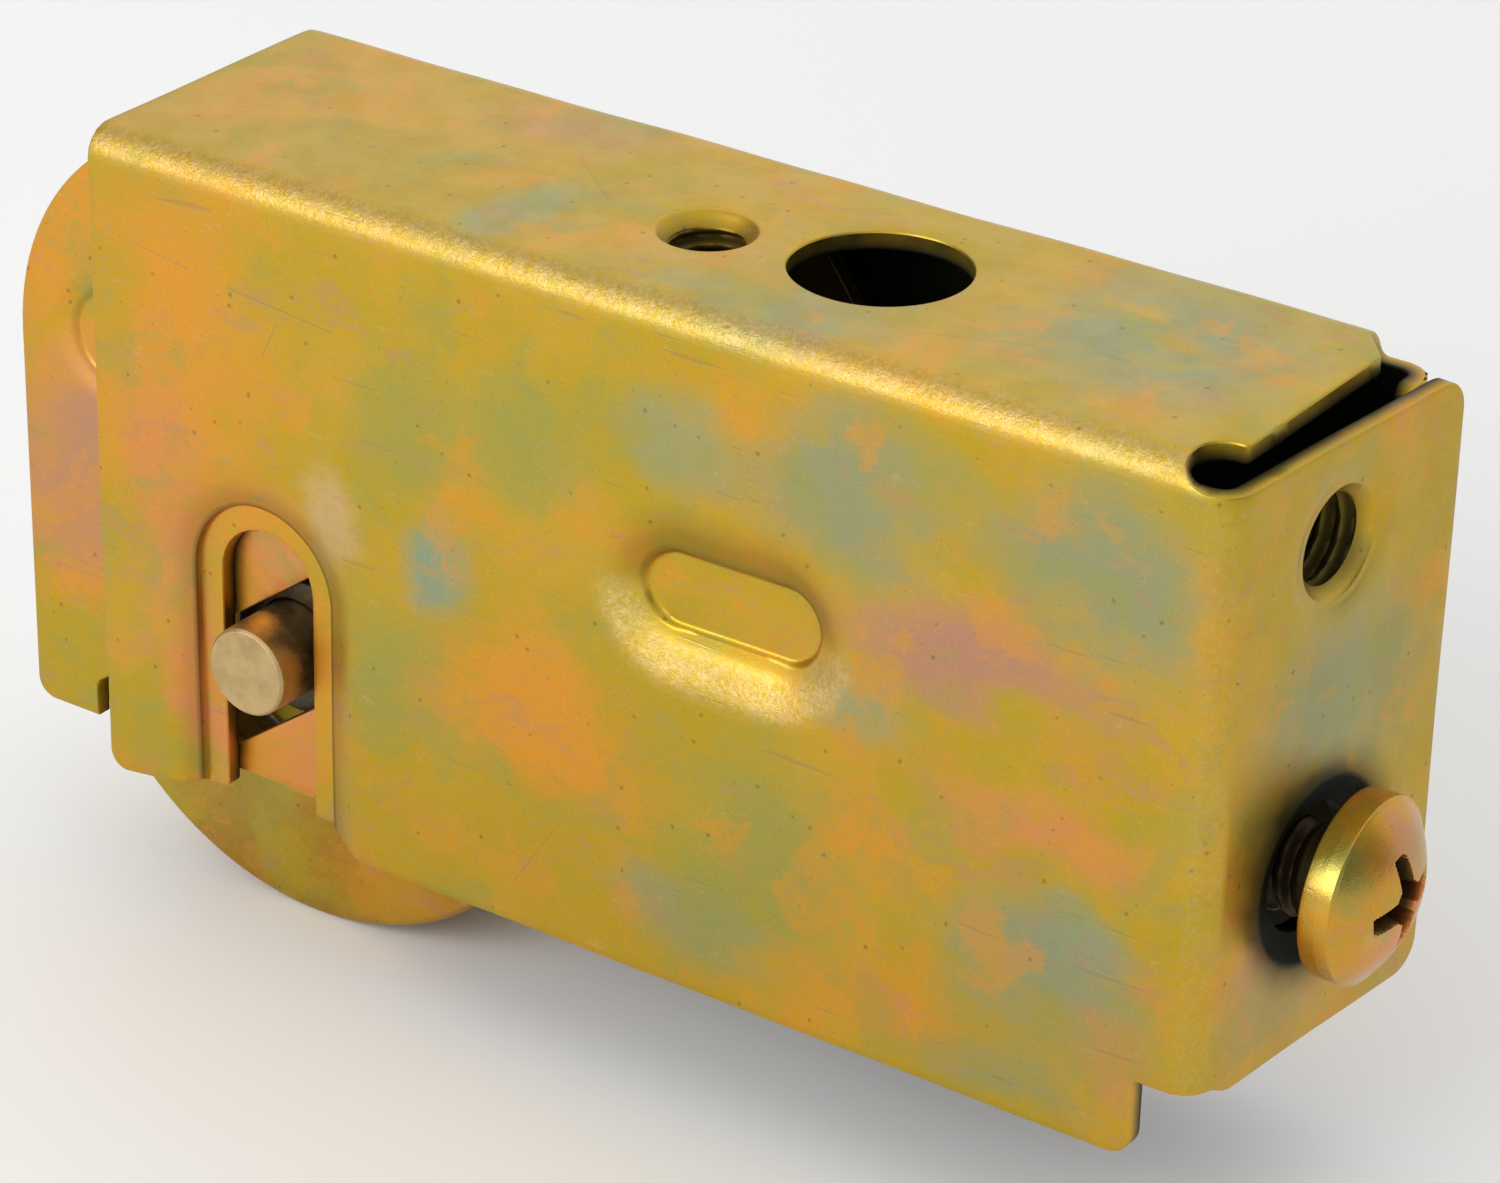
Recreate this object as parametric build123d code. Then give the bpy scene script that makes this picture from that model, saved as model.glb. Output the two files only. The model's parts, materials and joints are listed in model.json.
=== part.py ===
from build123d import *

import math
import os

# Sliding door roller: a folded sheet-steel housing, a folded slider inside it, a wheel on a
# ball bearing, and one adjusting screw.  The screw draws the slider along X.  The slider's slanted
# slots push the axle down the housing's two upright slots, and the wheel with it.
#
# Frame, in millimetres: the origin is on the housing's top face, at mid-width, straight above the
# axle.  +X runs along the housing to the adjusting screw, +Y across it, and +Z up.  -Y is the side
# that the housing's end flange is folded from.

# ---------------------------------------------------------------- driving dimensions
LENGTH = 80.0          # housing, from its open end to the outside of the flange's bend
WIDTH = 22.8           # housing, outside
HEIGHT = 44.0          # housing, top face to the bottom of its sides
SHEET = 1.2            # both folded parts
BEND = 2.0             # outside radius of a fold
AXLE_X_FROM_END = 12.4
AXLE_Z = -32.75
AXLE_R = 2.95

FLANGE_TOP = -1.5
FLANGE_BOTTOM = -39.6
FLANGE_CORNER_R = 2.0
FLANGE_SHORT = 0.4     # its free edge stops this far short of the back side's outer face
FLANGE_OPEN = 2.0      # the flange's free edge springs this far outward
STEP_X = 63.65         # where the sides' deeper part ends
FOOT = -38.8           # bottom of the short stretch from there to the folds
TONGUE_X = 66.0        # the top plate's tongue runs this far past the folds
NOTCH_R = 1.9          # round end of the notch between the tongue and the front fold
LIP_Y = 8.0            # inner edge of the back side's own fold
LIP_TOP = -2.0         # and its top edge
CLIP = ((TONGUE_X, 7.1), (STEP_X + 0.2, 9.8))   # the tongue's clipped back corner

ARCH_R = 3.55          # upright slot's half-width
ARCH_Z = -27.5         # centre of its round top
ARCH_X = 0.05
LAND = 1.75            # flat rim pressed in around the upright slot
DISH = 0.6             # depth of a soft dish in the sheet
DISH_W = 3.6           # its width around the land
PRESS = 0.35           # the flat land steps in this much further

DIMPLE_X = 34.85
DIMPLE_Z = -18.3
DIMPLE_R = 2.4
DIMPLE_HALF = 3.75     # half the straight part of the oblong land
DIMPLE_DISH = (2.6, 6.1)   # half the straight part and the radius of the dish around it
FOOT_LEFT_R = 1.3
FOOT_LIFT = 1.1        # the foot left of the upright slot slopes up this far
FOOT_RIGHT_R = 1.6

SLOT_ANGLE = 36.0      # slanted slot's rise towards the screw
SLOT_HALF = 3.7        # its half-width
SLOT_DROP = 0.4        # its centre line runs this far under the axle's centre
SLIDER_OUT = 9.1       # slider's outer faces, from mid-width
SLIDER_LEFT = -20.5
SLIDER_NOSE_R = 16.5
SLIDER_NOSE_Z = -16.2
SLIDER_TOP = -1.8
SLIDER_BOTTOM = -42.2
SLIDER_WALL_X = 51.6   # outer face of the slider's end wall
SLIDER_WALL_TOP = -17.0
SLIDER_SHOULDER_X = 27.0   # its top edge slopes down to the wall from here
SLIDER_WAIST_X = 38.0      # to here
SLIDER_FOOT_R = 1.4
SLOT_TOP_X = 8.0       # the slanted slot's round upper end
SLOT_MOUTH_X = -15.4   # and its open lower end
DENT = (-13.2, -15.0)  # round dimple in each plate, by the nose
DENT_DISH_R = (4.3, 3.1)
DENT_LAND_R = 2.9
DENT_DEPTHS = (0.55, 0.85)
NUT_WALL = 0.95
NUT_LENGTH = 3.2

SCREW_Z = -28.8
SCREW_R = 2.95
SCREW_LENGTH = 31.75
SCREW_GAP = 1.36       # the head stands this far off the flange
HEAD_R = 5.65
HEAD_H = 4.2
HEAD_RIM = 2.1         # height of the head's upright rim
RECESS_SPAN = 6.2      # the cross recess, tip to tip
RECESS_ARM = 1.35
RECESS_DEPTH = 2.7
RECESS_TURN = 9.5      # degrees

TOP_HOLE = (26.2, -1.1)
TOP_HOLE_R = 2.25
ACCESS_HOLE = (37.3, 0.35)
ACCESS_R = 5.4
END_HOLE = (-0.25, -7.95)
END_HOLE_R = 2.7
COLLAR = 2.6           # how far a drawn and tapped hole reaches past the sheet
COLLAR_WALL = 0.8
MOUTH = 0.85           # radius of its rounded mouth
CLEAR_HOLE_R = 3.95
CLEAR_HOLE_Z = -28.6

WHEEL_R = 19.9
WHEEL_HALF = 6.4
RIM_R = 0.45
TREAD_Y = 4.7          # half the hollow tread's width
TREAD_DEPTH = 2.0
SHELL = 1.5            # pressed wheel shell's thickness
SEAM = 0.05            # the shells' hub walls stop this short of mid-width
BORE_R = 11.0          # shells' bore, around the outer race
HUB_R = 0.6            # its rounded lip
PITCH_R = 7.4          # ball centres
BALL_R = 1.984
BALLS = 10
GROOVE_GAP = 0.07      # ball to race
CAGE_GAP = 0.14        # ball to cage pocket
RACE_HALF = 3.2        # inner race's half-width
INNER_SHOULDER = 6.15
OUTER_SHOULDER = 8.7
SHIELD_STEP = 0.5      # a dust shield seats this far outside the inner race's end
SHIELD = 0.35          # its thickness
SHIELD_BORE_R = 6.5
SHIELD_R = 9.4
OUTER_SEAT = 4.3       # outer race's half-width at its rim
CAGE_R = (6.75, 8.05)
CAGE_EDGE = 0.35       # cage metal beside a pocket
SPACER_R = 4.75
SPACER_GAP = 0.3       # spacer to the slider's plate, and its chamfer

LEFT = -AXLE_X_FROM_END
RIGHT = LEFT + LENGTH
HALF = WIDTH / 2
INSIDE = HALF - SHEET
AXLE_TIP = HALF + 1.1
TILT = math.degrees(math.atan2(FLANGE_OPEN, WIDTH - BEND))


# ---------------------------------------------------------------- small helpers
def obround(half, radius):
    """An oblong outline along its own X: two half circles and the straights between them."""
    return SlotCenterToCenter(2 * half, 2 * radius)


def side_sketch(sketch, x, z, y):
    """Place a flat outline on the plane Y = y, with its centre at (x, z)."""
    return Plane(origin=(x, y, z), x_dir=(1, 0, 0), z_dir=(0, -1, 0)) * sketch


def frustum(big, small, x, z, y_from, y_to):
    """The solid between two outlines on two upright planes."""
    return loft([side_sketch(big, x, z, y_from), side_sketch(small, x, z, y_to)], ruled=True)


def box(x0, x1, y0, y1, z0, z1):
    """A block between two corners."""
    return Pos((x0 + x1) / 2, (y0 + y1) / 2, (z0 + z1) / 2) * Box(x1 - x0, y1 - y0, z1 - z0)


def turned(points, arcs=()):
    """A ring turned about the Y axis through the axle.

    points are (radius, y) corners; arcs maps a corner's index to the mid-point of the arc that
    runs from it to the next corner.
    """
    arcs = dict(arcs)
    edges = []
    for i, here in enumerate(points):
        there = points[(i + 1) % len(points)]
        if i in arcs:
            edges.append(ThreePointArc(here, arcs[i], there))
        else:
            edges.append(Line(here, there))
    ring = revolve(make_face(Wire(edges)), Axis.Y)
    return Pos(0, 0, AXLE_Z) * ring


def mirrored_y(shape):
    """The same piece on the other side of mid-width."""
    return mirror(shape, about=Plane.XZ)


# ---------------------------------------------------------------- housing
def arch(radius, bottom):
    """The upright slot's outline about its round top's centre: a half circle over a straight."""
    top = Circle(radius)
    leg = Pos(0, bottom / 2) * Rectangle(2 * radius, -bottom)
    return top + leg


def pressed_features(side, grow):
    """What a side's dishes and lands take from its outer face, or add to its inner face.

    side is -1 or +1.  grow shifts the same shapes inward by the sheet's thickness.
    """
    y0 = side * (HALF - grow)
    y1 = y0 - side * DISH
    y2 = y1 - side * PRESS
    drop = -(HEIGHT + 6.0) - ARCH_Z
    land_r = ARCH_R + LAND
    arch_dish = frustum(arch(land_r + DISH_W, drop), arch(land_r, drop), ARCH_X, ARCH_Z, y0, y1)
    arch_land = frustum(arch(land_r, drop), arch(land_r, drop), ARCH_X, ARCH_Z, y1, y2)
    dimple_dish = frustum(obround(*DIMPLE_DISH), obround(DIMPLE_HALF, DIMPLE_R + 0.2),
                          DIMPLE_X, DIMPLE_Z, y0, y1)
    dimple_land = frustum(obround(DIMPLE_HALF, DIMPLE_R), obround(DIMPLE_HALF, DIMPLE_R),
                          DIMPLE_X, DIMPLE_Z, y1, y2)
    return arch_dish + arch_land + dimple_dish + dimple_land


def flange_plane():
    """The flange's outer face: its origin is at the bend, x runs to the free edge, y up."""
    bend = (RIGHT - BEND, -HALF + BEND)
    angle = math.radians(TILT)
    origin = (bend[0] + BEND * math.cos(angle), bend[1] - BEND * math.sin(angle), 0)
    along = (math.sin(angle), math.cos(angle), 0)
    outward = (math.cos(angle), -math.sin(angle), 0)
    return Plane(origin=origin, x_dir=along, z_dir=outward)


def channel():
    """Top plate and two sides: a folded channel, before anything is cut or pressed."""
    end = RIGHT - BEND
    length = end - LEFT
    middle = (LEFT + end) / 2
    outer = Pos(middle, 0, -HEIGHT / 2) * Box(length, WIDTH, HEIGHT)
    outer = fillet(outer.edges().filter_by(Axis.X).group_by(Axis.Z)[-1], BEND)
    inner = Pos(middle, 0, -HEIGHT / 2 - SHEET) * Box(length + 2, WIDTH - 2 * SHEET, HEIGHT)
    inner = fillet(inner.edges().filter_by(Axis.X).group_by(Axis.Z)[-1], BEND - SHEET)
    return outer - inner


def bend_wall(y_edge, turn, z0, z1):
    """A quarter fold about an upright axis, from the side at y_edge towards +X."""
    centre = (RIGHT - BEND, y_edge - math.copysign(BEND, y_edge))
    start = -90 if y_edge < 0 else 90 - turn
    outer = CenterArc((0, 0), BEND, start, turn)
    inner = CenterArc((0, 0), BEND - SHEET, start, turn)
    sides = [Line(outer @ 0, inner @ 0), Line(outer @ 1, inner @ 1)]
    sector = make_face([outer, inner, *sides])
    return Pos(centre[0], centre[1], z0) * extrude(sector, z1 - z0)


def flange():
    """The end flange: the fold from the front side and the flat with two rounded corners."""
    plane = flange_plane()
    reach = (WIDTH - BEND - FLANGE_SHORT) / math.cos(math.radians(TILT))
    rise = FOOT - FLANGE_BOTTOM
    flat = make_face(Polyline((0, FLANGE_TOP), (reach, FLANGE_TOP), (reach, FLANGE_BOTTOM),
                              (2 * rise, FLANGE_BOTTOM), (0, FOOT), (0, FLANGE_TOP)))
    flat = fillet(flat.vertices().group_by(Axis.X)[-1], FLANGE_CORNER_R)
    plate = extrude(plane * flat, -SHEET)
    return plate + bend_wall(-HALF, 90 - TILT, FOOT, FLANGE_TOP)


def return_lip():
    """The back side's own short fold, which lies behind the flange."""
    lip = box(RIGHT - SHEET, RIGHT, LIP_Y, HALF - BEND, FOOT, LIP_TOP)
    return lip + bend_wall(HALF, 90, FOOT, LIP_TOP)


def drawn_hole(radius):
    """A hole drawn through the sheet: its collar and its rounded mouth, about the local Z."""
    tube = Pos(0, 0, -SHEET - COLLAR / 2) * Cylinder(radius + COLLAR_WALL, COLLAR)
    cutter = Pos(0, 0, -SHEET - COLLAR) * Cylinder(radius, 2 * (SHEET + COLLAR) + 2)
    ring = Pos(0, 0, -MOUTH / 2) * Cylinder(radius + MOUTH, MOUTH)
    round_over = Pos(0, 0, -MOUTH) * Torus(radius + MOUTH, MOUTH)
    return tube, cutter + (ring - round_over)


def tongue():
    """The top plate's end, which runs past the folds to the flange, with one clipped corner."""
    start = RIGHT - BEND
    front = -HALF + 2 * NOTCH_R
    back = CLIP[1][1]
    outline = Polyline((start - 0.5, front), (TONGUE_X, front), *CLIP, (start - 2.5, back),
                       (start - 0.5, front))
    return Pos(0, 0, -SHEET) * extrude(make_face(outline), SHEET)


def make_housing():
    body = channel()
    # The top plate is freed from both folds: a round-ended notch in front, a straight cut behind.
    notch_x = STEP_X + 0.2
    past = RIGHT + 4
    run = past - notch_x - NOTCH_R
    notch = Pos(notch_x + NOTCH_R, -HALF + NOTCH_R) * Circle(NOTCH_R)
    notch += Pos(past - run / 2, -HALF + NOTCH_R) * Rectangle(run, 2 * NOTCH_R)
    body -= Pos(0, 0, FLANGE_TOP) * extrude(notch, 6)
    body -= box(notch_x, past, CLIP[1][1], HALF + 2, LIP_TOP, 4)
    body += tongue()
    waste = make_face(Polyline(*CLIP, (TONGUE_X, CLIP[1][1]), CLIP[0]))
    body -= Pos(0, 0, -SHEET) * extrude(waste, SHEET + 1)
    # The sides' deeper part stops short of the folds.
    body -= box(STEP_X, RIGHT + 1, -HALF - 1, HALF + 1, -HEIGHT - 1, FOOT)
    body += flange()
    body += return_lip()
    for side in (-1, 1):
        body += pressed_features(side, SHEET) & box(LEFT, RIGHT, -HALF, HALF, -HEIGHT, -3)
        body -= pressed_features(side, 0.0)
    slot = arch(ARCH_R, -HEIGHT)
    body -= extrude(side_sketch(slot, ARCH_X, ARCH_Z, HALF + 2), 2 * HALF + 4)
    wedge = make_face(Polyline((LEFT, -HEIGHT), (ARCH_X, -HEIGHT), (ARCH_X - ARCH_R, FOOT_LIFT - HEIGHT),
                               (LEFT, -HEIGHT)))
    body -= extrude(side_sketch(wedge, 0, 0, HALF + 2), 2 * HALF + 4)
    # Rounded feet: the two bottom corners of each side.
    corners = body.edges().filter_by(Axis.Y).filter_by_position(Axis.Z, -HEIGHT - 0.1, -HEIGHT + 0.1)
    body = fillet(corners.filter_by_position(Axis.X, LEFT - 0.1, LEFT + 0.1), FOOT_LEFT_R)
    corners = body.edges().filter_by(Axis.Y).group_by(Axis.Z)[0]
    body = fillet(corners.filter_by_position(Axis.X, STEP_X - 0.1, STEP_X + 0.1), FOOT_RIGHT_R)
    # Drawn and tapped holes in the top plate and the flange, and the two plain ones.
    top_tube, top_cut = drawn_hole(TOP_HOLE_R)
    body += Pos(TOP_HOLE[0], TOP_HOLE[1], 0) * top_tube
    body -= Pos(TOP_HOLE[0], TOP_HOLE[1], 0) * top_cut
    body -= Pos(ACCESS_HOLE[0], ACCESS_HOLE[1], 0) * Cylinder(ACCESS_R, 6)
    plane = flange_plane()
    end_tube, end_cut = drawn_hole(END_HOLE_R)
    spot = Location(plane) * Pos(END_HOLE[0] + HALF - BEND, END_HOLE[1], 0)
    body += spot * end_tube
    body -= spot * end_cut
    body -= Pos(RIGHT, 0, CLEAR_HOLE_Z) * Rot(0, 90, 0) * Cylinder(CLEAR_HOLE_R, 8)
    return body


# ---------------------------------------------------------------- slider
def slider_outline():
    """One plate of the slider, seen from the side, with its slanted slot open at the bottom."""
    nose_x = SLIDER_LEFT + SLIDER_NOSE_R
    rise = SLIDER_TOP - SLIDER_NOSE_Z
    arc_end = nose_x - math.sqrt(SLIDER_NOSE_R ** 2 - rise ** 2)
    turn = math.radians(150)
    arc_mid = (nose_x + SLIDER_NOSE_R * math.cos(turn),
               SLIDER_NOSE_Z + SLIDER_NOSE_R * math.sin(turn))
    end = SLIDER_WALL_X - BEND
    nose = ThreePointArc((SLIDER_LEFT, SLIDER_NOSE_Z), arc_mid, (arc_end, SLIDER_TOP))
    rest = Polyline((arc_end, SLIDER_TOP), (SLIDER_SHOULDER_X, SLIDER_TOP),
                    (SLIDER_WAIST_X, SLIDER_WALL_TOP), (end, SLIDER_WALL_TOP), (end, SLIDER_BOTTOM),
                    (SLIDER_LEFT, SLIDER_BOTTOM), (SLIDER_LEFT, SLIDER_NOSE_Z))
    face = make_face(Wire([nose.edge(), *rest.edges()]))
    low = face.vertices().group_by(Axis.Y)[0]
    face = fillet(low, SLIDER_FOOT_R)
    # The slot runs from a round upper end down to the left, out through the bottom edge.
    top_run = SLOT_TOP_X / math.cos(math.radians(SLOT_ANGLE))
    low_run = 30.0
    slot = Pos((top_run - low_run) / 2, 0) * Rectangle(top_run + low_run, 2 * SLOT_HALF)
    slot += Pos(top_run, 0) * Circle(SLOT_HALF)
    slot = Pos(0, AXLE_Z - SLOT_DROP) * Rot(0, 0, SLOT_ANGLE) * slot
    keep = Pos(SLOT_MOUTH_X + HEIGHT, AXLE_Z) * Rectangle(2 * HEIGHT, 2 * HEIGHT)
    return face - (slot & keep)


def wall_run(half, end):
    """The end wall's outline from above: half its width, and where its face lies along X."""
    length = 2 * (BEND + 5)
    run = Pos(end - length / 2, 0) * Rectangle(length, 2 * half)
    return fillet(run.vertices().group_by(Axis.X)[-1], BEND - SLIDER_OUT + half)


def dent(side, grow):
    """What a plate's round dimple takes from its outer face, or adds to its inner one."""
    faces = [side * (SLIDER_OUT - grow - depth) for depth in (0.0, *DENT_DEPTHS)]
    big, small = (Circle(radius) for radius in DENT_DISH_R)
    dish = frustum(big, small, *DENT, faces[0], faces[1])
    land = Circle(DENT_LAND_R)
    return dish + frustum(land, land, *DENT, faces[1], faces[2])


def make_slider():
    outline = slider_outline()
    plates = [extrude(side_sketch(outline, 0, 0, side * SLIDER_OUT), SHEET * side) for side in (-1, 1)]
    profile = wall_run(SLIDER_OUT, SLIDER_WALL_X) - wall_run(SLIDER_OUT - SHEET, SLIDER_WALL_X - SHEET)
    wall = Pos(0, 0, SLIDER_BOTTOM) * extrude(profile, SLIDER_WALL_TOP - SLIDER_BOTTOM)
    wall -= box(0, SLIDER_WALL_X - BEND, -HALF, HALF, -2 * HEIGHT, 0)
    body = plates[0] + plates[1] + wall
    for side in (-1, 1):
        body = body + dent(side, SHEET) - dent(side, 0.0)
    # The nut: the end wall is drawn inward and tapped for the adjusting screw.
    nut = Rot(0, 90, 0) * Cylinder(SCREW_R + NUT_WALL, NUT_LENGTH)
    bore = Rot(0, 90, 0) * Cylinder(SCREW_R + 0.05, 4 * NUT_LENGTH)
    body += Pos(SLIDER_WALL_X - SHEET - NUT_LENGTH / 2, 0, SCREW_Z) * nut
    return body - Pos(SLIDER_WALL_X - NUT_LENGTH, 0, SCREW_Z) * bore


# ---------------------------------------------------------------- adjusting screw
def make_screw():
    """Pan head with a cross recess; the thread is left out, at just under its outer radius."""
    seat = RIGHT + FLANGE_OPEN * (HALF - BEND) / (WIDTH - BEND) + SCREW_GAP
    edge = 0.3
    crown = HEAD_H - HEAD_RIM
    rim = Polyline((0, 0), (HEAD_R - edge, 0), (HEAD_R, edge), (HEAD_R, HEAD_RIM))
    dome = ThreePointArc((HEAD_R, HEAD_RIM), (HEAD_R * 0.72, HEAD_RIM + crown * 0.68), (0, HEAD_H))
    axis_line = Line((0, HEAD_H), (0, 0))
    head = revolve(make_face(Wire([*rim.edges(), dome.edge(), axis_line.edge()])), Axis.Y)
    head = Rot(0, 0, -90) * head
    top = Rectangle(RECESS_SPAN, RECESS_ARM) + Rectangle(RECESS_ARM, RECESS_SPAN)
    tip = Rectangle(2.2, 0.9) + Rectangle(0.9, 2.2)
    recess = loft([Pos(0, 0, HEAD_H + 0.1) * top, Pos(0, 0, HEAD_H - RECESS_DEPTH) * tip], ruled=True)
    recess = Rot(0, 90, 0) * (Rot(0, 0, RECESS_TURN) * recess)
    shank = Pos(-SCREW_LENGTH / 2, 0, 0) * Rot(0, 90, 0) * Cylinder(SCREW_R, SCREW_LENGTH)
    shank = chamfer(shank.edges().group_by(Axis.X)[0], 0.8)
    return Pos(seat, 0, SCREW_Z) * (head - recess + shank)


# ---------------------------------------------------------------- axle, bearing and wheel
def make_axle():
    pin = Cylinder(AXLE_R, 2 * AXLE_TIP)
    pin = chamfer(pin.edges().group_by(Axis.Z)[0] + pin.edges().group_by(Axis.Z)[-1], 0.25)
    return Pos(0, 0, AXLE_Z) * Rot(90, 0, 0) * pin


def make_spacer():
    """A plain bush between the inner race and the slider's plate, at the back."""
    outside = SLIDER_OUT - SHEET - SPACER_GAP
    return turned([(AXLE_R, RACE_HALF), (SPACER_R, RACE_HALF), (SPACER_R, outside - SPACER_GAP),
                   (SPACER_R - SPACER_GAP, outside), (AXLE_R, outside)])


def make_inner_race():
    root = PITCH_R - BALL_R - GROOVE_GAP
    groove = BALL_R + GROOVE_GAP
    half = math.sqrt(groove ** 2 - (PITCH_R - INNER_SHOULDER) ** 2)
    return turned([(AXLE_R, -RACE_HALF), (INNER_SHOULDER, -RACE_HALF), (INNER_SHOULDER, -half),
                   (INNER_SHOULDER, half), (INNER_SHOULDER, RACE_HALF), (AXLE_R, RACE_HALF)],
                  {2: (root, 0)})


def make_outer_race():
    """The back half of the outer race: it is split at mid-width so that the balls go in."""
    root = PITCH_R + BALL_R + GROOVE_GAP
    groove = BALL_R + GROOVE_GAP
    half = math.sqrt(groove ** 2 - (OUTER_SHOULDER - PITCH_R) ** 2)
    turn = math.asin(half / groove) / 2
    middle = (PITCH_R + groove * math.cos(turn), groove * math.sin(turn))
    step = RACE_HALF + SHIELD_STEP
    return turned([(root, 0), (OUTER_SHOULDER, half), (OUTER_SHOULDER, step), (SHIELD_R, step),
                   (SHIELD_R, OUTER_SEAT), (BORE_R, OUTER_SEAT), (BORE_R, 0)], {0: middle})


def make_shield():
    """The back dust shield, pressed into the outer race's step."""
    low = RACE_HALF + SHIELD_STEP
    high = low + SHIELD
    return turned([(SHIELD_BORE_R, low), (SHIELD_R, low), (SHIELD_R, high), (SHIELD_BORE_R, high)])


def make_wheel_shell():
    """The back half of the pressed wheel: side face, rounded rim and half of the hollow tread."""
    groove = (TREAD_Y ** 2 + TREAD_DEPTH ** 2) / (2 * TREAD_DEPTH)
    centre = WHEEL_R - TREAD_DEPTH + groove

    def tread(offset, y):
        return centre - math.sqrt((groove + offset) ** 2 - y ** 2)

    def corner(radius, y, bend):
        """The middle of the arc that rounds a corner at (radius, y); a minus bend faces inward."""
        back = abs(bend) * (1 - math.sqrt(0.5))
        return (radius - math.copysign(back, bend), y - back)

    inner_y = WHEEL_HALF - SHELL
    points = [(BORE_R, SEAM), (BORE_R, WHEEL_HALF - HUB_R), (BORE_R + HUB_R, WHEEL_HALF),
              (WHEEL_R - RIM_R, WHEEL_HALF), (WHEEL_R, WHEEL_HALF - RIM_R), (WHEEL_R, TREAD_Y),
              (tread(0, 0), 0.0), (tread(SHELL, 0), 0.0), (tread(SHELL, inner_y), inner_y),
              (BORE_R + SHELL, inner_y), (BORE_R + SHELL, SEAM)]
    arcs = {1: corner(BORE_R, WHEEL_HALF, -HUB_R), 3: corner(WHEEL_R, WHEEL_HALF, RIM_R),
            5: (tread(0, TREAD_Y / 2), TREAD_Y / 2),
            7: (tread(SHELL, inner_y / 2), inner_y / 2)}
    return turned(points, arcs)


def ball_centre(i):
    turn = 2 * math.pi * i / BALLS
    return (PITCH_R * math.cos(turn), 0, AXLE_Z + PITCH_R * math.sin(turn))


def make_cage():
    """A ring between the races with a round pocket for each ball."""
    half = BALL_R + CAGE_GAP + CAGE_EDGE
    inner, outer = CAGE_R
    cage = turned([(inner, -half), (outer, -half), (outer, half), (inner, half)])
    for i in range(BALLS):
        cage -= Pos(*ball_centre(i)) * Sphere(BALL_R + CAGE_GAP)
    return cage


# ---------------------------------------------------------------- all the pieces
def make_parts():
    parts = {
        "housing": make_housing(),
        "slider": make_slider(),
        "adjusting_screw": make_screw(),
        "axle": make_axle(),
        "inner_race": make_inner_race(),
        "ball_cage": make_cage(),
    }
    pairs = {"spacer": make_spacer, "outer_race": make_outer_race, "dust_shield": make_shield,
             "wheel_shell": make_wheel_shell}
    for name, make in pairs.items():
        back = make()
        parts[name + "_back"] = back
        parts[name + "_front"] = mirrored_y(back)
    for i in range(BALLS):
        parts[f"ball_{i + 1:02d}"] = Pos(*ball_centre(i)) * Sphere(BALL_R)
    return parts


os.makedirs("parts", exist_ok=True)
for node, shape in make_parts().items():
    export_step(shape, f"parts/{node}.step")
    print(node, len(shape.solids()), "solid(s),", round(shape.volume, 1), "mm3")
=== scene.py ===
# %% [markdown]
# # A sliding door roller, in yellow zinc
#
# The roller hides in the bottom rail of a sliding door. A folded steel housing holds a folded slider,
# and one long screw draws that slider along. The slider's slanted slots then push the wheel's axle
# down two upright slots in the housing, and the door rises.
#
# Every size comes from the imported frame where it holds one. The rest are named here in millimetres.
# The frame is in metres, so each mesh is scaled by `MM` as it is made.

# %% Load the frame
import json
import math

import bmesh
import bpy
import numpy as np
from mathutils import Matrix, Vector
from mathutils.geometry import delaunay_2d_cdt


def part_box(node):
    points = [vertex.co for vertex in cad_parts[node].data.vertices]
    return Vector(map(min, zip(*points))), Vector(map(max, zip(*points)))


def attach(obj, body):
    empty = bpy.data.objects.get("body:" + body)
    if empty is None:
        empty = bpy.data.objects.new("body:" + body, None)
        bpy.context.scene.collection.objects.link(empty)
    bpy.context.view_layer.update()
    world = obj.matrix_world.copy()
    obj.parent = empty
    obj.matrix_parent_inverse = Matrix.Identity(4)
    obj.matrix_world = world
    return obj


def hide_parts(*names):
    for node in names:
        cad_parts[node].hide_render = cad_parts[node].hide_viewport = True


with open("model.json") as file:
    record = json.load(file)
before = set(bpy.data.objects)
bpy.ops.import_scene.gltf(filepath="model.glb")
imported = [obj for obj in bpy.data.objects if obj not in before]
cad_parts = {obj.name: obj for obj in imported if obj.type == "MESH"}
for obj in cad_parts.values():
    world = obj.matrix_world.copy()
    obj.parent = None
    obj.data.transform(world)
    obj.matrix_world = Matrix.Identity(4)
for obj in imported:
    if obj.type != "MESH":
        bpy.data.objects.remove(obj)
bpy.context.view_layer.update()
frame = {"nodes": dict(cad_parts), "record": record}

MM = 0.001

# %% [markdown]
# ## Sizes read from the frame
#
# The mounts in the record say where the holes are and how large. Reading them here keeps the looks
# and the working model in step.

# %% Sizes
housing_low = np.array(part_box("housing")[0]) / MM
slider_low, slider_high = (np.array(c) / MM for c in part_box("slider"))
axle_low, axle_high = (np.array(c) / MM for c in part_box("axle"))
wheel_low, wheel_high = (np.array(c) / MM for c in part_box("wheel_shell_front"))
race_high = np.array(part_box("inner_race")[1]) / MM
spacer_low, spacer_high = (np.array(c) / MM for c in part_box("spacer_front"))
screw_low, screw_high = (np.array(c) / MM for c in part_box("adjusting_screw"))
mounts = {m["name"]: m for m in frame["record"]["mounts"]}

SHEET = 1.2
BEND = 2.0
LEFT = housing_low[0]
HALF = -housing_low[1]
HEIGHT = -housing_low[2]
RIGHT = LEFT + 80.0
AXLE_Z = (axle_low[2] + axle_high[2]) / 2
SCREW_Z = (screw_low[2] + screw_high[2]) / 2
WHEEL_R = wheel_high[2] - AXLE_Z
FLAT = HALF - BEND
ARC = BEND * math.pi / 2
print("housing", (LEFT, RIGHT), "half width", round(HALF, 2), "height", round(HEIGHT, 2))
print("axle z", round(AXLE_Z, 2), "screw z", round(SCREW_Z, 2), "wheel radius", round(WHEEL_R, 2))

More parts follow.
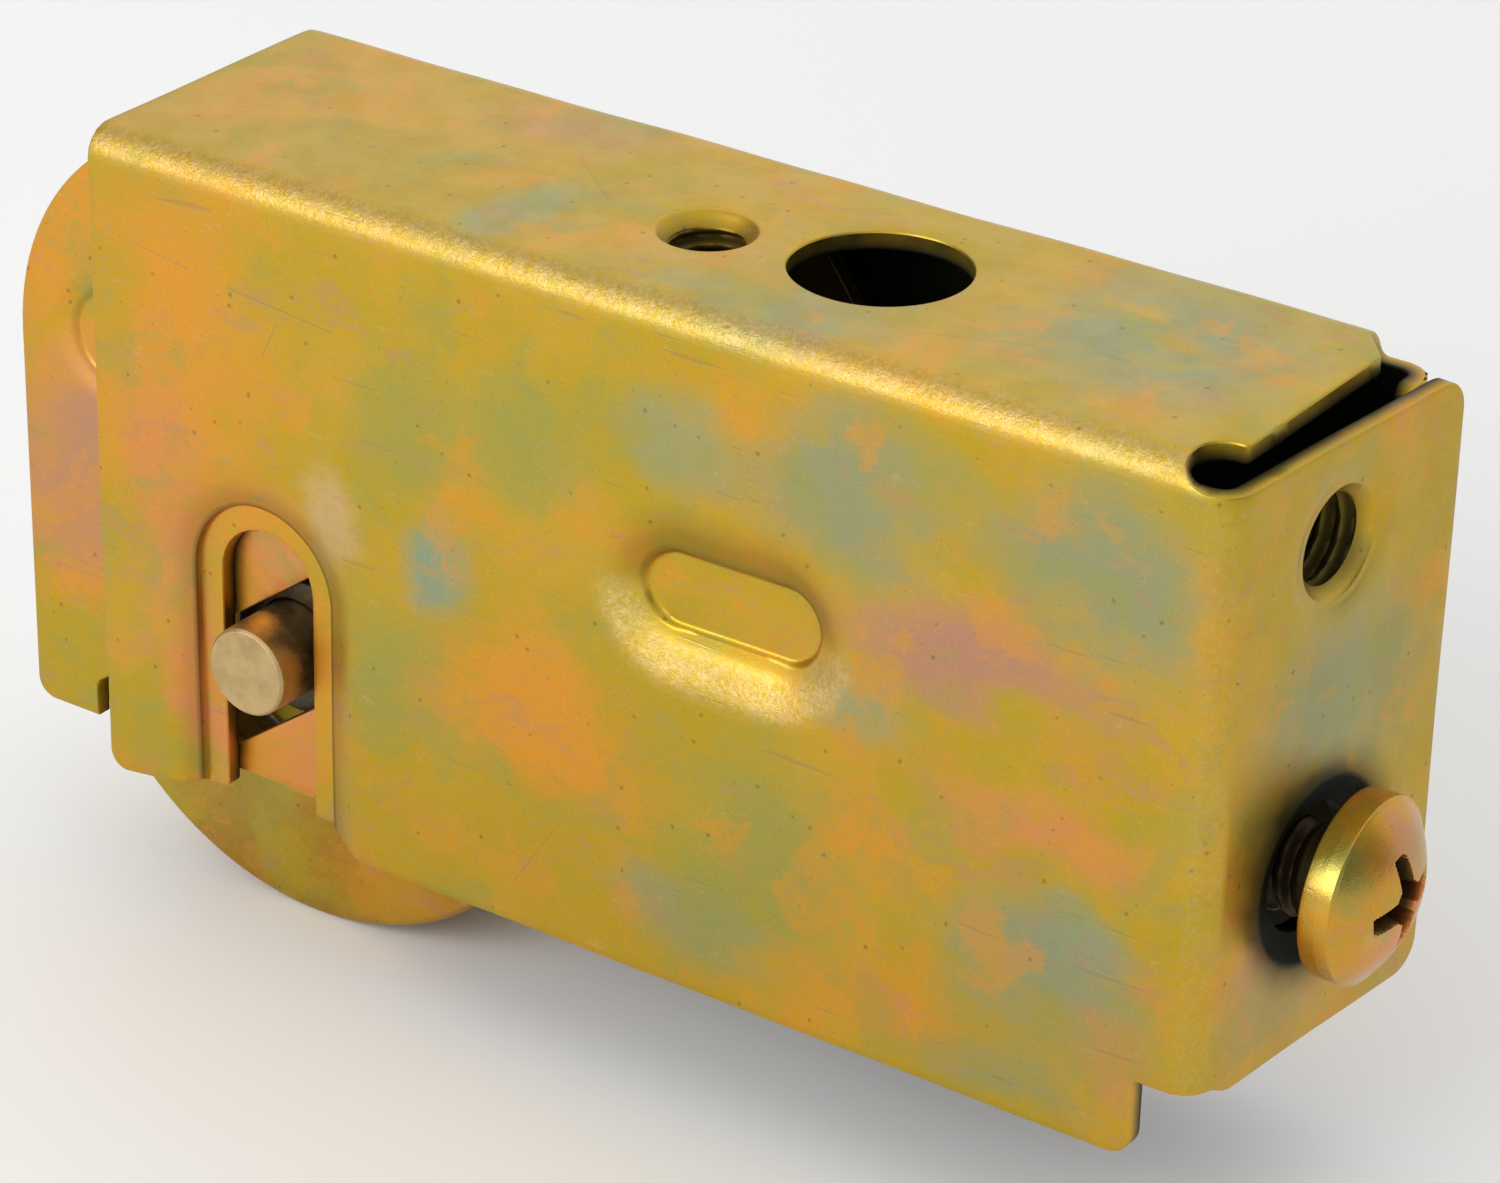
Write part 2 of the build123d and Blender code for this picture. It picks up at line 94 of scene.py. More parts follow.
# %% [markdown]
# ## Camera, floor and light
#
# A long lens from the front right, a little above the roller, shows the front side, the top and the
# end flange together. Bare metal shows what stands around it, so the light is a bright pale room with
# wide soft lamps: one long lamp high in front makes the folded edges shine.

# %% Camera
CAMERA_AT = np.array((182.029, -225.015, 115.698))
CAMERA_RIGHT = (0.82062626, 0.57106718, 0.02132657)
CAMERA_UP = (-0.27531447, 0.36237455, 0.89044182)
CAMERA_BACK = (0.50077389, -0.73659145, 0.45459713)
LENS = 122.5

camera_data = bpy.data.cameras.new("camera")
camera_data.lens = LENS
camera_data.sensor_width = 36.0
camera_data.clip_start = 0.01
camera_data.clip_end = 10.0
camera = bpy.data.objects.new("camera", camera_data)
turn = Matrix((CAMERA_RIGHT, CAMERA_UP, CAMERA_BACK)).transposed().to_4x4()
camera.matrix_world = Matrix.Translation(Vector(CAMERA_AT * MM)) @ turn
bpy.context.scene.collection.objects.link(camera)
bpy.context.scene.camera = camera
print("camera stands", round(float(np.linalg.norm(CAMERA_AT)) / 1000, 3), "m from the top face")


# %% Floor, lamps and room
def lamp(name, place, aim, width, height, power):
    """A rectangular soft white lamp at place, in millimetres, that faces the point aim."""
    data = bpy.data.lights.new(name, "AREA")
    data.shape = "RECTANGLE"
    data.size = width * MM
    data.size_y = height * MM
    data.energy = power
    holder = bpy.data.objects.new(name, data)
    holder.location = Vector(place) * MM
    facing = Vector(aim) - Vector(place)
    holder.rotation_euler = facing.to_track_quat("-Z", "Y").to_euler()
    bpy.context.scene.collection.objects.link(holder)


FLOOR_Z = AXLE_Z - WHEEL_R
FLOOR_HALF = 6000.0
FLOOR_GAP = 0.02         # keeps the wheel from sinking into the floor by rounding
floor_mesh = bpy.data.meshes.new("floor")
floor_corners = [(-FLOOR_HALF, -FLOOR_HALF), (FLOOR_HALF, -FLOOR_HALF),
                 (FLOOR_HALF, FLOOR_HALF), (-FLOOR_HALF, FLOOR_HALF)]
floor_height = (FLOOR_Z - FLOOR_GAP) * MM
floor_mesh.from_pydata([(x * MM, y * MM, floor_height) for x, y in floor_corners], [], [(0, 1, 2, 3)])
floor = bpy.data.objects.new("floor", floor_mesh)
bpy.context.scene.collection.objects.link(floor)

MIDDLE = (28.0, 0.0, -24.0)
ROOM_LIGHT, WALL_LIGHT = 0.92, 0.30      # the two side walls are darker than the rest of the room
lamp("key", (-190, -560, 270), MIDDLE, 560, 330, 1.9)
lamp("back_wash", (-300, 560, 420), MIDDLE, 500, 300, 0.12)

world = bpy.data.worlds.new("room")
bpy.context.scene.world = world
world.use_nodes = True
room = world.node_tree
direction = room.nodes.new("ShaderNodeTexCoord").outputs["Generated"]
split = room.nodes.new("ShaderNodeSeparateXYZ")
room.links.new(direction, split.inputs[0])
sideways = room.nodes.new("ShaderNodeMath")
sideways.operation = "ABSOLUTE"
room.links.new(split.outputs["X"], sideways.inputs[0])
walls = room.nodes.new("ShaderNodeMapRange")
walls.interpolation_type = "SMOOTHSTEP"
for socket, value in (("From Min", 0.62), ("From Max", 0.9), ("To Min", ROOM_LIGHT), ("To Max", WALL_LIGHT)):
    walls.inputs[socket].default_value = value
room.links.new(sideways.outputs[0], walls.inputs["Value"])
room.links.new(walls.outputs["Result"], room.nodes["Background"].inputs["Strength"])
room.nodes["Background"].inputs["Color"].default_value = (1.0, 1.0, 1.0, 1.0)
bpy.context.scene.view_settings.view_transform = "Standard"

# %% [markdown]
# ## A small kit for materials
#
# Each finish below is a graph of nodes. These helpers keep a graph to one line per idea. Patterns read
# Object coordinates in millimetres, so that they stay put on each piece however it moves.


# %% Material helpers
class Finish:
    """A metal's node graph: self.mm holds Object coordinates in millimetres."""

    def __init__(self, name, metallic=1.0):
        self.material = bpy.data.materials.new(name)
        self.material.use_nodes = True
        self.tree = self.material.node_tree
        self.shader = self.tree.nodes["Principled BSDF"]
        self.shader.inputs["Metallic"].default_value = metallic
        place = self.tree.nodes.new("ShaderNodeTexCoord").outputs["Object"]
        self.mm = self.vector("SCALE", place, Scale=1 / MM)

    def node(self, kind, settings, sockets):
        """Adds one node. A socket's value is a number, a tuple, or another node's output."""
        made = self.tree.nodes.new(kind)
        for key, value in settings.items():
            setattr(made, key, value)
        for key, value in sockets.items():
            if isinstance(value, bpy.types.NodeSocket):
                self.tree.links.new(value, made.inputs[key])
            else:
                made.inputs[key].default_value = value
        return made

    def vector(self, operation, first, second=None, **sockets):
        """Vector arithmetic; a length or a dot product comes back as a number."""
        made = self.node("ShaderNodeVectorMath", {"operation": operation}, {0: first, **sockets})
        if isinstance(second, bpy.types.NodeSocket):
            self.tree.links.new(second, made.inputs[1])
        elif second is not None:
            made.inputs[1].default_value = second
        return made.outputs["Value" if operation in ("LENGTH", "DOT_PRODUCT", "DISTANCE") else "Vector"]

    def math(self, operation, first, second=0.0):
        """Arithmetic on two numbers or outputs."""
        return self.node("ShaderNodeMath", {"operation": operation}, {0: first, 1: second}).outputs[0]

    def noise(self, scale, detail=3.0, roughness=0.5, where=None, stretch=None, colour=False):
        """Smooth noise with scale features per millimetre, stretched by the three numbers given."""
        where = where or self.mm
        if stretch:
            where = self.vector("MULTIPLY", where, stretch)
        made = self.node("ShaderNodeTexNoise", {}, {
            "Vector": where, "Scale": scale, "Detail": detail, "Roughness": roughness})
        return made.outputs["Color" if colour else "Fac"]

    def mark(self, name):
        """A number that add_piece stored on the mesh's points; 0 where a mesh has none."""
        return self.node("ShaderNodeAttribute", {"attribute_name": name}, {}).outputs["Fac"]

    def scratch(self, start, end, width):
        """1 along a thin line from start to end, 0 a width away: distance to the nearest point on it."""
        run = Vector(end) - Vector(start)
        from_start = self.vector("SUBTRACT", self.mm, start)
        share = self.vector("DOT_PRODUCT", from_start, tuple(run / run.length_squared))
        share = self.node("ShaderNodeClamp", {}, {"Value": share}).outputs[0]
        on_line = self.vector("SCALE", tuple(run), Scale=share)
        return self.ease(self.vector("DISTANCE", from_start, on_line), width, 0.3 * width)

    def ease(self, value, low, high, to_low=0.0, to_high=1.0):
        """Smoothly maps value from low..high to to_low..to_high."""
        made = self.node("ShaderNodeMapRange", {"interpolation_type": "SMOOTHSTEP"}, {
            "Value": value, "From Min": low, "From Max": high, "To Min": to_low, "To Max": to_high})
        return made.outputs["Result"]

    def mix(self, share, first, second):
        """Blends two colours by share, each a tuple or another node's output."""
        made = self.node("ShaderNodeMix", {"data_type": "RGBA"}, {})
        for index, value in ((0, share), (6, first), (7, second)):
            if isinstance(value, bpy.types.NodeSocket):
                self.tree.links.new(value, made.inputs[index])
            elif index == 0:
                made.inputs[index].default_value = value
            else:
                made.inputs[index].default_value = (*value, 1.0)
        return made.outputs[2]

    def cloud(self, where, centre, radii, strength=1.0):
        """A soft-edged ellipsoid: strength at its centre, nothing outside its radii."""
        away = self.vector("SUBTRACT", where, centre)
        share = self.vector("LENGTH", self.vector("DIVIDE", away, radii))
        return self.ease(share, 1.0, 0.25, 0.0, strength)

    def finish(self, colour, roughness, bumps):
        """Joins colour, roughness and a chain of (height, strength, distance in mm) bumps."""
        self.tree.links.new(colour, self.shader.inputs["Base Color"])
        if isinstance(roughness, bpy.types.NodeSocket):
            self.tree.links.new(roughness, self.shader.inputs["Roughness"])
        else:
            self.shader.inputs["Roughness"].default_value = roughness
        normal = None
        for height, strength, distance in bumps:
            bump = self.node("ShaderNodeBump", {}, {
                "Height": height, "Strength": strength, "Distance": distance * MM})
            if normal is not None:
                self.tree.links.new(normal, bump.inputs["Normal"])
            normal = bump.outputs["Normal"]
        if normal is not None:
            self.tree.links.new(normal, self.shader.inputs["Normal"])
        return self.material


# %% [markdown]
# ## The yellow zinc finish
#
# Zinc plate is dipped in chromate, and the film that stays is thinner than a wavelength of light. It
# is not one yellow: it drifts between gold, orange, pink and a grey green, in clouds a few millimetres
# to a few centimetres across. A noise texture alone gives even mottling, so the large clouds are
# listed one by one as soft ellipsoids, and their edges are broken up by noise.

# %% Colours of the film
GOLD = (0.58, 0.345, 0.026)
YELLOW = (0.50, 0.335, 0.018)
ORANGE = (0.72, 0.305, 0.028)
PINK = (0.50, 0.245, 0.150)
SALMON = (0.70, 0.265, 0.085)
GREEN = (0.33, 0.33, 0.070)
GREY_GREEN = (0.30, 0.32, 0.165)
BLUE_GREY = (0.26, 0.34, 0.22)
TAN = (0.60, 0.40, 0.17)
BRIGHT = (0.80, 0.58, 0.20)
# SHADE is the painted shade colour, for inner faces, creases and hollows.
SHADE = (0.018, 0.022, 0.016)
FRONT = -HALF

# Each cloud: colour, centre and radii in millimetres, strength.
HOUSING_CLOUDS = [
    # front side, from the open end towards the screw
    (ORANGE, (-7, FRONT, -14), (12, 3, 20), 1.0),
    (SALMON, (-7, FRONT, -24), (5, 3, 14), 0.8),
    (YELLOW, (-11, FRONT, -9), (4, 3, 9), 0.7),
    (ORANGE, (1, FRONT, -33), (8, 3, 13), 0.9),
    (YELLOW, (8, FRONT, -6), (16, 3, 5), 0.8),
    (GREEN, (12, FRONT, -13), (7, 3, 5), 0.7),
    (TAN, (6, FRONT, -20.5), (3.4, 2, 5.0), 0.9),
    (BLUE_GREY, (14.5, FRONT, -21), (4, 3, 5), 0.95),
    (GREEN, (11, FRONT, -29), (6, 3, 7), 0.75),
    (GREEN, (21, FRONT, -12), (8, 3, 6), 0.7),
    (ORANGE, (22, FRONT, -30), (13, 3, 9), 1.0),
    (YELLOW, (20, FRONT, -37), (12, 3, 5), 0.8),
    (YELLOW, (33, FRONT, -27), (8, 3, 8), 0.7),
    (GREEN, (38, FRONT, -34), (10, 3, 10), 0.85),
    (GREY_GREEN, (33, FRONT, -39), (7, 3, 4), 0.7),
    (BLUE_GREY, (32, FRONT, -8), (5, 3, 4), 0.6),
    (GREY_GREEN, (44, FRONT, -8), (12, 3, 7), 0.95),
    (PINK, (51, FRONT, -16.5), (12, 3, 5.5), 1.0),
    (GREY_GREEN, (60, FRONT, -8), (9, 3, 9), 0.95),
    (BLUE_GREY, (44, FRONT, -22), (7, 3, 3), 0.6),
    (SALMON, (57, FRONT, -25), (11, 3, 4), 0.9),
    (GREY_GREEN, (57, FRONT, -34), (10, 3, 6), 1.0),
    (BLUE_GREY, (60, FRONT, -31), (5, 3, 3), 0.7),
    (SALMON, (61, FRONT, -37), (4, 3, 3), 0.6),
    (ORANGE, (46, FRONT, -30), (8, 3, 4), 0.8),
    (ORANGE, (46, FRONT, -40), (11, 3, 4), 0.8),
    (GREY_GREEN, (55, FRONT, -41), (7, 3, 3), 0.7),
    (ORANGE, (0, FRONT, -24), (5.6, 3, 6), 0.95),
    (SALMON, (-5, FRONT, -38), (2.6, 3, 10), 0.95),
    # top face
    (ORANGE, (-6, 2, 0), (9, 10, 2), 0.5),
    (YELLOW, (8, -5, 0), (12, 7, 2), 0.6),
    (BLUE_GREY, (17, -6, 0), (4, 7, 2), 0.6),
    (GREY_GREEN, (35, -8, 0), (12, 5, 2), 0.7),
    (GREY_GREEN, (55, 1, 0), (13, 12, 2), 0.95),
    (GOLD, (45, 6, 0), (5, 6, 2), 0.6),
    (PINK, (11, 7, 0), (9, 4, 2), 0.45),
    # end flange
    (GREY_GREEN, (RIGHT, 1, -19), (5, 12, 11), 0.9),
    (PINK, (RIGHT, -4, -35), (5, 7, 5), 0.6),
    (GOLD, (RIGHT, 0, -6), (5, 12, 6), 0.7),
    (GREEN, (RIGHT, 6, -33), (5, 6, 8), 0.6),
]


# %% Sheet finish
def zinc_finish(name, clouds, ground, drift, rough=(0.30, 0.42), scratches=()):
    """Yellow zinc over folded sheet: ground colour, listed clouds, specks, rubs and scratches.

    drift is how far, in millimetres, noise bends the clouds' edges. The mesh's marks add a painted
    highlight, tan patches and a grain bump along the folds and the dimple's lower slope, and painted shade
    on inner faces, in creases and in hollows.
    """
    f = Finish(name)
    centred = (0.5, 0.5, 0.5)
    slow = f.vector("SUBTRACT", f.noise(0.09, 2.0, 0.5, colour=True), centred)
    quick = f.vector("SUBTRACT", f.noise(0.42, 5.0, 0.65, stretch=(0.7, 1.0, 1.2), colour=True), centred)
    bent = f.vector("ADD", f.mm, f.vector("SCALE", slow, Scale=2.0 * drift))
    bent = f.vector("ADD", bent, f.vector("SCALE", quick, Scale=drift))
    broad = f.noise(0.085, 3.0, 0.55, where=bent)
    colour = f.mix(f.ease(broad, 0.40, 0.60), ground, YELLOW)
    colour = f.mix(f.ease(f.noise(0.12, 4.0, 0.6, where=bent), 0.55, 0.72, 0.0, 0.5), colour, ORANGE)
    for tint, centre, radii, strength in clouds:
        colour = f.mix(f.cloud(bent, centre, radii, strength), colour, tint)
    patches = f.noise(0.16, 6.0, 0.62, where=bent)
    colour = f.mix(f.ease(patches, 0.52, 0.64, 0.0, 0.45), colour, GREEN)
    colour = f.mix(f.ease(patches, 0.46, 0.36, 0.0, 0.50), colour, ORANGE)
    wisps = f.noise(0.40, 5.0, 0.7, where=bent, stretch=(0.35, 1.0, 1.0))
    colour = f.mix(f.ease(wisps, 0.55, 0.68, 0.0, 0.40), colour, PINK)
    colour = f.mix(f.ease(wisps, 0.44, 0.34, 0.0, 0.35), colour, YELLOW)
    colour = f.mix(f.ease(f.noise(2.6, 4.0, 0.75), 0.40, 0.62, 0.0, 0.14), colour, GREY_GREEN)
    colour = f.mix(f.ease(f.noise(6.5, 3.0, 0.7), 0.50, 0.72, 0.0, 0.14), colour, BRIGHT)
    # Painted highlight: on the folds and the dimple's lower slope, which face the key lamp, tan patches and a
    # BRIGHT glint lighten the colour; the grain bump further down is the bent metal's texture.
    worked_and_highlight = f.mark("worked_and_highlight")
    torn = f.math("MULTIPLY", worked_and_highlight, f.ease(f.noise(1.3, 4.0, 0.7), 0.42, 0.60))
    colour = f.mix(f.math("MULTIPLY", torn, 0.55), colour, TAN)
    glint = f.math("MULTIPLY", worked_and_highlight, f.ease(f.noise(3.0, 3.0, 0.7), 0.42, 0.66, 0.25, 1.0))
    colour = f.mix(f.math("MULTIPLY", glint, 0.5), colour, BRIGHT)
    specks = f.node("ShaderNodeTexVoronoi", {}, {"Vector": f.mm, "Scale": 0.62, "Randomness": 1.0})
    few = f.math("GREATER_THAN", f.noise(0.45, 1.0, 0.5), 0.50)
    speck = f.math("MULTIPLY", f.ease(specks.outputs["Distance"], 0.13, 0.04), few)
    fine = f.node("ShaderNodeTexVoronoi", {}, {"Vector": f.mm, "Scale": 1.5, "Randomness": 1.0})
    fine_few = f.math("GREATER_THAN", f.noise(0.8, 1.0, 0.5), 0.56)
    fine_speck = f.math("MULTIPLY", f.ease(fine.outputs["Distance"], 0.14, 0.05), fine_few)
    speck = f.math("MAXIMUM", speck, f.math("MULTIPLY", fine_speck, 0.7))
    colour = f.mix(f.math("MULTIPLY", speck, 0.5), colour, (0.16, 0.10, 0.03))
    rub = f.ease(f.noise(0.5, 6.0, 0.75, stretch=(0.6, 1.0, 1.4)), 0.62, 0.70)
    colour = f.mix(f.math("MULTIPLY", rub, 0.45), colour, TAN)
    hair = f.ease(f.noise(1.7, 3.0, 0.6, stretch=(0.06, 1.0, 1.0)), 0.66, 0.72)
    for start, end, width in scratches:
        hair = f.math("MAXIMUM", hair, f.scratch(start, end, width))
    colour = f.mix(f.math("MULTIPLY", hair, 0.35), colour, (0.30, 0.22, 0.12))
    # Painted shade: the inner mark darkens inner faces, creases, hollows, tapped bores and the screw's shank
    # towards SHADE.
    inner = f.mark("inner")
    colour = f.mix(f.math("MULTIPLY", inner, 0.98), colour, SHADE)
    low, high = rough
    roughness = f.ease(f.noise(0.3, 3.0, 0.6), 0.3, 0.7, low, high)
    roughness = f.math("ADD", roughness, f.math("MULTIPLY", rub, 0.1))
    roughness = f.math("ADD", roughness, f.math("MULTIPLY", inner, 0.25))
    grain = f.math("MULTIPLY", f.noise(3.6, 4.0, 0.8), worked_and_highlight)
    bumps = [(f.noise(7.0, 3.0, 0.7), 0.22, 0.05), (f.noise(1.1, 3.0, 0.6), 0.14, 0.08), (grain, 0.5, 0.14),
             (f.math("ADD", speck, f.math("MULTIPLY", hair, 0.5)), 0.35, -0.04)]
    return f.finish(colour, roughness, bumps)


# Each scratch: start, end and width in millimetres.
HOUSING_SCRATCHES = [
    ((-9, FRONT, -6.6), (-4.5, FRONT, -7.2), 0.10),
    ((-1.5, FRONT, -7.6), (6.5, FRONT, -8.4), 0.12),
    ((1, FRONT, -11.5), (2.2, FRONT, -9.0), 0.10),
    ((41, FRONT, -22), (42.6, FRONT, -15), 0.09),
    ((20, FRONT, -41), (23, FRONT, -36.5), 0.09),
    ((14, 3, 0), (19, -1, 0), 0.10),
    ((44, -6, 0), (50, -3.5, 0), 0.09),
    ((31, 6.5, 0), (35, 8, 0), 0.09),
]
zinc_sheet = zinc_finish("zinc_sheet", HOUSING_CLOUDS, GOLD, 3.6, scratches=HOUSING_SCRATCHES)
print("housing finish:", len(HOUSING_CLOUDS), "clouds,", len(zinc_sheet.node_tree.nodes), "nodes")

# %% [markdown]
# ## The slider's, screw's and wheel's own plating
#
# The slider took up a pinker film than the housing, the screw head is blotched from being tumbled in a
# barrel, and the wheel is a darker olive gold. Each is the same recipe with its own clouds.

# %% Slider, screw and wheel finishes
SLIDER_FACE = slider_low[1]
SLIDER_CLOUDS = [
    (ORANGE, (-16, SLIDER_FACE, -8), (7, 12, 9), 0.8),
    (PINK, (-16, SLIDER_FACE, -24), (8, 12, 9), 0.9),
    (GREEN, (-13, SLIDER_FACE, -13), (4, 12, 5), 0.45),
    (SALMON, (2, SLIDER_FACE, -27), (8, 12, 6), 0.9),
    (SALMON, (2, SLIDER_FACE, -40), (8, 12, 6), 0.9),
]
zinc_slider = zinc_finish("zinc_slider", SLIDER_CLOUDS, ORANGE, 5.0)

HEAD_X = screw_high[0]
SCREW_CLOUDS = [
    (ORANGE, (HEAD_X, 0, SCREW_Z), (12, 12, 12), 0.9),
    (SALMON, (HEAD_X, 1, SCREW_Z - 2), (6, 6, 5), 0.9),
    (GREEN, (HEAD_X - 2.5, -4.5, SCREW_Z + 3.5), (3.5, 3, 3.5), 0.8),
    (PINK, (HEAD_X, 1, SCREW_Z + 3.5), (3, 4, 3), 0.8),
    (TAN, (HEAD_X - 1.5, -2.5, SCREW_Z - 1), (3, 2.5, 2), 0.6),
]
zinc_screw = zinc_finish("zinc_screw", SCREW_CLOUDS, SALMON, 2.5, rough=(0.22, 0.32))

WHEEL_GOLD = (0.42, 0.215, 0.018)
WHEEL_CLOUDS = [
    (GREEN, (-8, wheel_low[1], AXLE_Z - 12), (9, 8, 6), 0.3),
    (ORANGE, (8, wheel_low[1], AXLE_Z - 16), (7, 8, 5), 0.45),
]
zinc_wheel = zinc_finish("zinc_wheel", WHEEL_CLOUDS, WHEEL_GOLD, 5.0)


# %% Steel finishes
def steel_finish(name, tint, stain, rough_low, rough_high, grain):
    """Plain steel: a faint stain, a fine grain and small changes of roughness."""
    f = Finish(name)
    colour = f.mix(f.ease(f.noise(0.7, 4.0, 0.6), 0.35, 0.7), tint, stain)
    specks = f.ease(f.noise(6.0, 2.0, 0.6), 0.62, 0.75, 0.0, 0.5)
    colour = f.mix(specks, colour, tuple(0.6 * c for c in stain))
    rough = f.ease(f.noise(1.5, 3.0, 0.6), 0.3, 0.7, rough_low, rough_high)
    return f.finish(colour, rough, [(f.noise(9.0, 3.0, 0.7), grain, 0.04)])


axle_steel = steel_finish("axle_steel", (0.56, 0.41, 0.20), (0.47, 0.33, 0.15), 0.36, 0.48, 0.5)
dark_steel = steel_finish("dark_steel", (0.10, 0.085, 0.06), (0.06, 0.05, 0.035), 0.3, 0.5, 0.2)
bearing_steel = steel_finish("bearing_steel", (0.62, 0.62, 0.62), (0.50, 0.48, 0.44), 0.12, 0.24, 0.08)
print("finishes:", [m.name for m in bpy.data.materials])

# %% Floor finish
f = Finish("pale_floor", metallic=0.0)
tone = f.mix(f.noise(0.004, 2.0, 0.5), (0.90, 0.90, 0.90), (0.94, 0.94, 0.93))
f.finish(tone, 0.7, [])
floor_mesh.materials.append(f.material)

# %% [markdown]
# ## Putting arrays into a mesh
#
# Each piece below is worked out as numpy arrays: one array of points in millimetres, and arrays of
# triangles or quads that index it. One function hands them to Blender, turns the faces outward, marks
# the true corners sharp and seats the piece on its body.


# %% Mesh helper
def add_piece(name, points, faces, body, material, stands_for=(), corner=32.0, marks=None):
    """A finished piece at the origin.

    corner is the angle above which an edge stays crisp. marks maps a name to one number per point,
    which the finish reads back.
    """
    mesh = bpy.data.meshes.new(name)
    loops = np.concatenate([f.ravel() for f in faces]).astype(np.int32)
    sizes = np.concatenate([np.full(len(f), f.shape[1]) for f in faces])
    starts = np.concatenate(([0], np.cumsum(sizes)[:-1])).astype(np.int32)
    mesh.vertices.add(len(points))
    mesh.vertices.foreach_set("co", (np.asarray(points) * MM).astype(np.float32).ravel())
    mesh.loops.add(len(loops))
    mesh.loops.foreach_set("vertex_index", loops)
    mesh.polygons.add(len(sizes))
    mesh.polygons.foreach_set("loop_start", starts)
    mesh.update(calc_edges=True)
    mesh.validate()
    shell = bmesh.new()
    shell.from_mesh(mesh)
    bmesh.ops.recalc_face_normals(shell, faces=shell.faces)
    open_edges = sum(1 for e in shell.edges if not e.is_manifold)
    shell.to_mesh(mesh)
    shell.free()
    mesh.shade_smooth()
    mesh.set_sharp_from_angle(angle=math.radians(corner))
    mesh.materials.append(material)
    for mark, values in (marks or {}).items():
        layer = mesh.attributes.new(mark, "FLOAT", "POINT")
        layer.data.foreach_set("value", np.asarray(values, np.float32))
    piece = bpy.data.objects.new(name, mesh)
    bpy.context.scene.collection.objects.link(piece)
    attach(piece, body)
    if stands_for:
        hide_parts(*stands_for)
    print(f"{name}: {len(points)} points, {len(sizes)} faces, {open_edges} open edges")
    return piece


# %% [markdown]
# ## Turned pieces
#
# The axle, the wheel's pressed shells and the bushes are turned shapes: one closed profile carried
# round the wheel's axis. Rounded corners in the profile are short arcs, because a corner with no
# radius never catches the light.


# %% Turned-shape helpers
def rounded(corners, step=0.8, closed=True, arc_step=math.radians(12)):
    """An outline from (x, y, radius) corners.

    At each corner the two straights are cut back by radius * tan(half the turn) and joined by an arc;
    the straights between are divided into equal lengths of at most step.
    """
    corners = [np.array(c, float) for c in corners]
    count = len(corners)
    runs = []
    for i, corner in enumerate(corners):
        here, radius = corner[:2], corner[2]
        if radius <= 0 or (not closed and i in (0, count - 1)):
            runs.append(here[None])
            continue
        back = corners[i - 1][:2] - here
        ahead = corners[(i + 1) % count][:2] - here
        back /= np.linalg.norm(back)
        ahead /= np.linalg.norm(ahead)
        opening = math.acos(np.clip(back @ ahead, -1, 1))
        cut = radius / math.tan(opening / 2)
        middle = back + ahead
        centre = here + middle / np.linalg.norm(middle) * radius / math.sin(opening / 2)
        first, last = here + back * cut - centre, here + ahead * cut - centre
        total = math.pi - opening
        parts = max(2, math.ceil(total / arc_step))
        share = np.linspace(0, 1, parts + 1)[:, None]
        blend = (np.sin((1 - share) * total) * first + np.sin(share * total) * last) / math.sin(total)
        runs.append(centre + blend)
    points = []
    for i in range(count if closed else count - 1):
        run, start, end = runs[i], runs[i][-1], runs[(i + 1) % count][0]
        parts = max(1, math.ceil(np.linalg.norm(end - start) / step))
        points.append(run)
        points.append(start + (end - start) * np.linspace(0, 1, parts + 1)[1:-1, None])
    if not closed:
        points.append(runs[-1])
    return np.concatenate(points)


def turned(profile, segments, axis_point, closed=True):
    """Carries a (radius, along) profile round the Y axis: x = r cos a, z = r sin a, y = along.

    A closed profile gives a ring. An open one starts and ends on the axis, and fans of triangles
    close its two poles.
    """
    angle = np.linspace(0, 2 * math.pi, segments, endpoint=False)[:, None]
    body = profile if closed else profile[1:-1]
    along = np.broadcast_to(body[:, 1], (segments, len(body)))
    points = np.stack([body[:, 0] * np.cos(angle), along, body[:, 0] * np.sin(angle)], -1).reshape(-1, 3)
    faces = [lattice(segments, len(body), closed)]
    if not closed:
        poles = np.array([(0, profile[0, 1], 0), (0, profile[-1, 1], 0)])
        faces.append(fans(segments, len(body)))
        points = np.concatenate([points, poles])
    return points + np.array(axis_point), faces


def lattice(rows, columns, wrap):
    """Quads of a grid whose rows close on themselves, and whose columns do if wrap is true."""
    row, column = np.arange(rows)[:, None], np.arange(columns if wrap else columns - 1)[None]
    after, beside = (row + 1) % rows, (column + 1) % columns
    near, far = row * columns, after * columns
    return np.stack([near + column, near + beside, far + beside, far + column], -1).reshape(-1, 4)


def fans(rows, columns):
    """Triangles from two pole points, which follow the grid's own points, to its first and last columns."""
    row = np.arange(rows)
    after = (row + 1) % rows
    pole = rows * columns + 0 * row
    first = np.stack([pole, row * columns, after * columns], -1)
    last = np.stack([pole + 1, (after + 1) * columns - 1, (row + 1) * columns - 1], -1)
    return np.concatenate([first, last])


# %% [markdown]
# ## Wheel
#
# Two pressed steel shells meet in the middle of the tread. Only the front shell's lower rim shows in
# use, but the part may be turned over, so both shells have their rolled rim and the hub's lip.

# %% Wheel shells
SHELL = 1.5
BORE_R = 11.0
TREAD_Y = 4.7
TREAD_DEPTH = 2.0
WHEEL_HALF = -wheel_low[1]
AXIS = (0.0, 0.0, AXLE_Z)
tread_r = (TREAD_Y ** 2 + TREAD_DEPTH ** 2) / (2 * TREAD_DEPTH)
tread_centre = WHEEL_R - TREAD_DEPTH + tread_r


def tread(offset, y):
    """The hollow tread: a circle about a point outside the wheel, offset inward by the shell."""
    return tread_centre - np.sqrt((tread_r + offset) ** 2 - y ** 2)


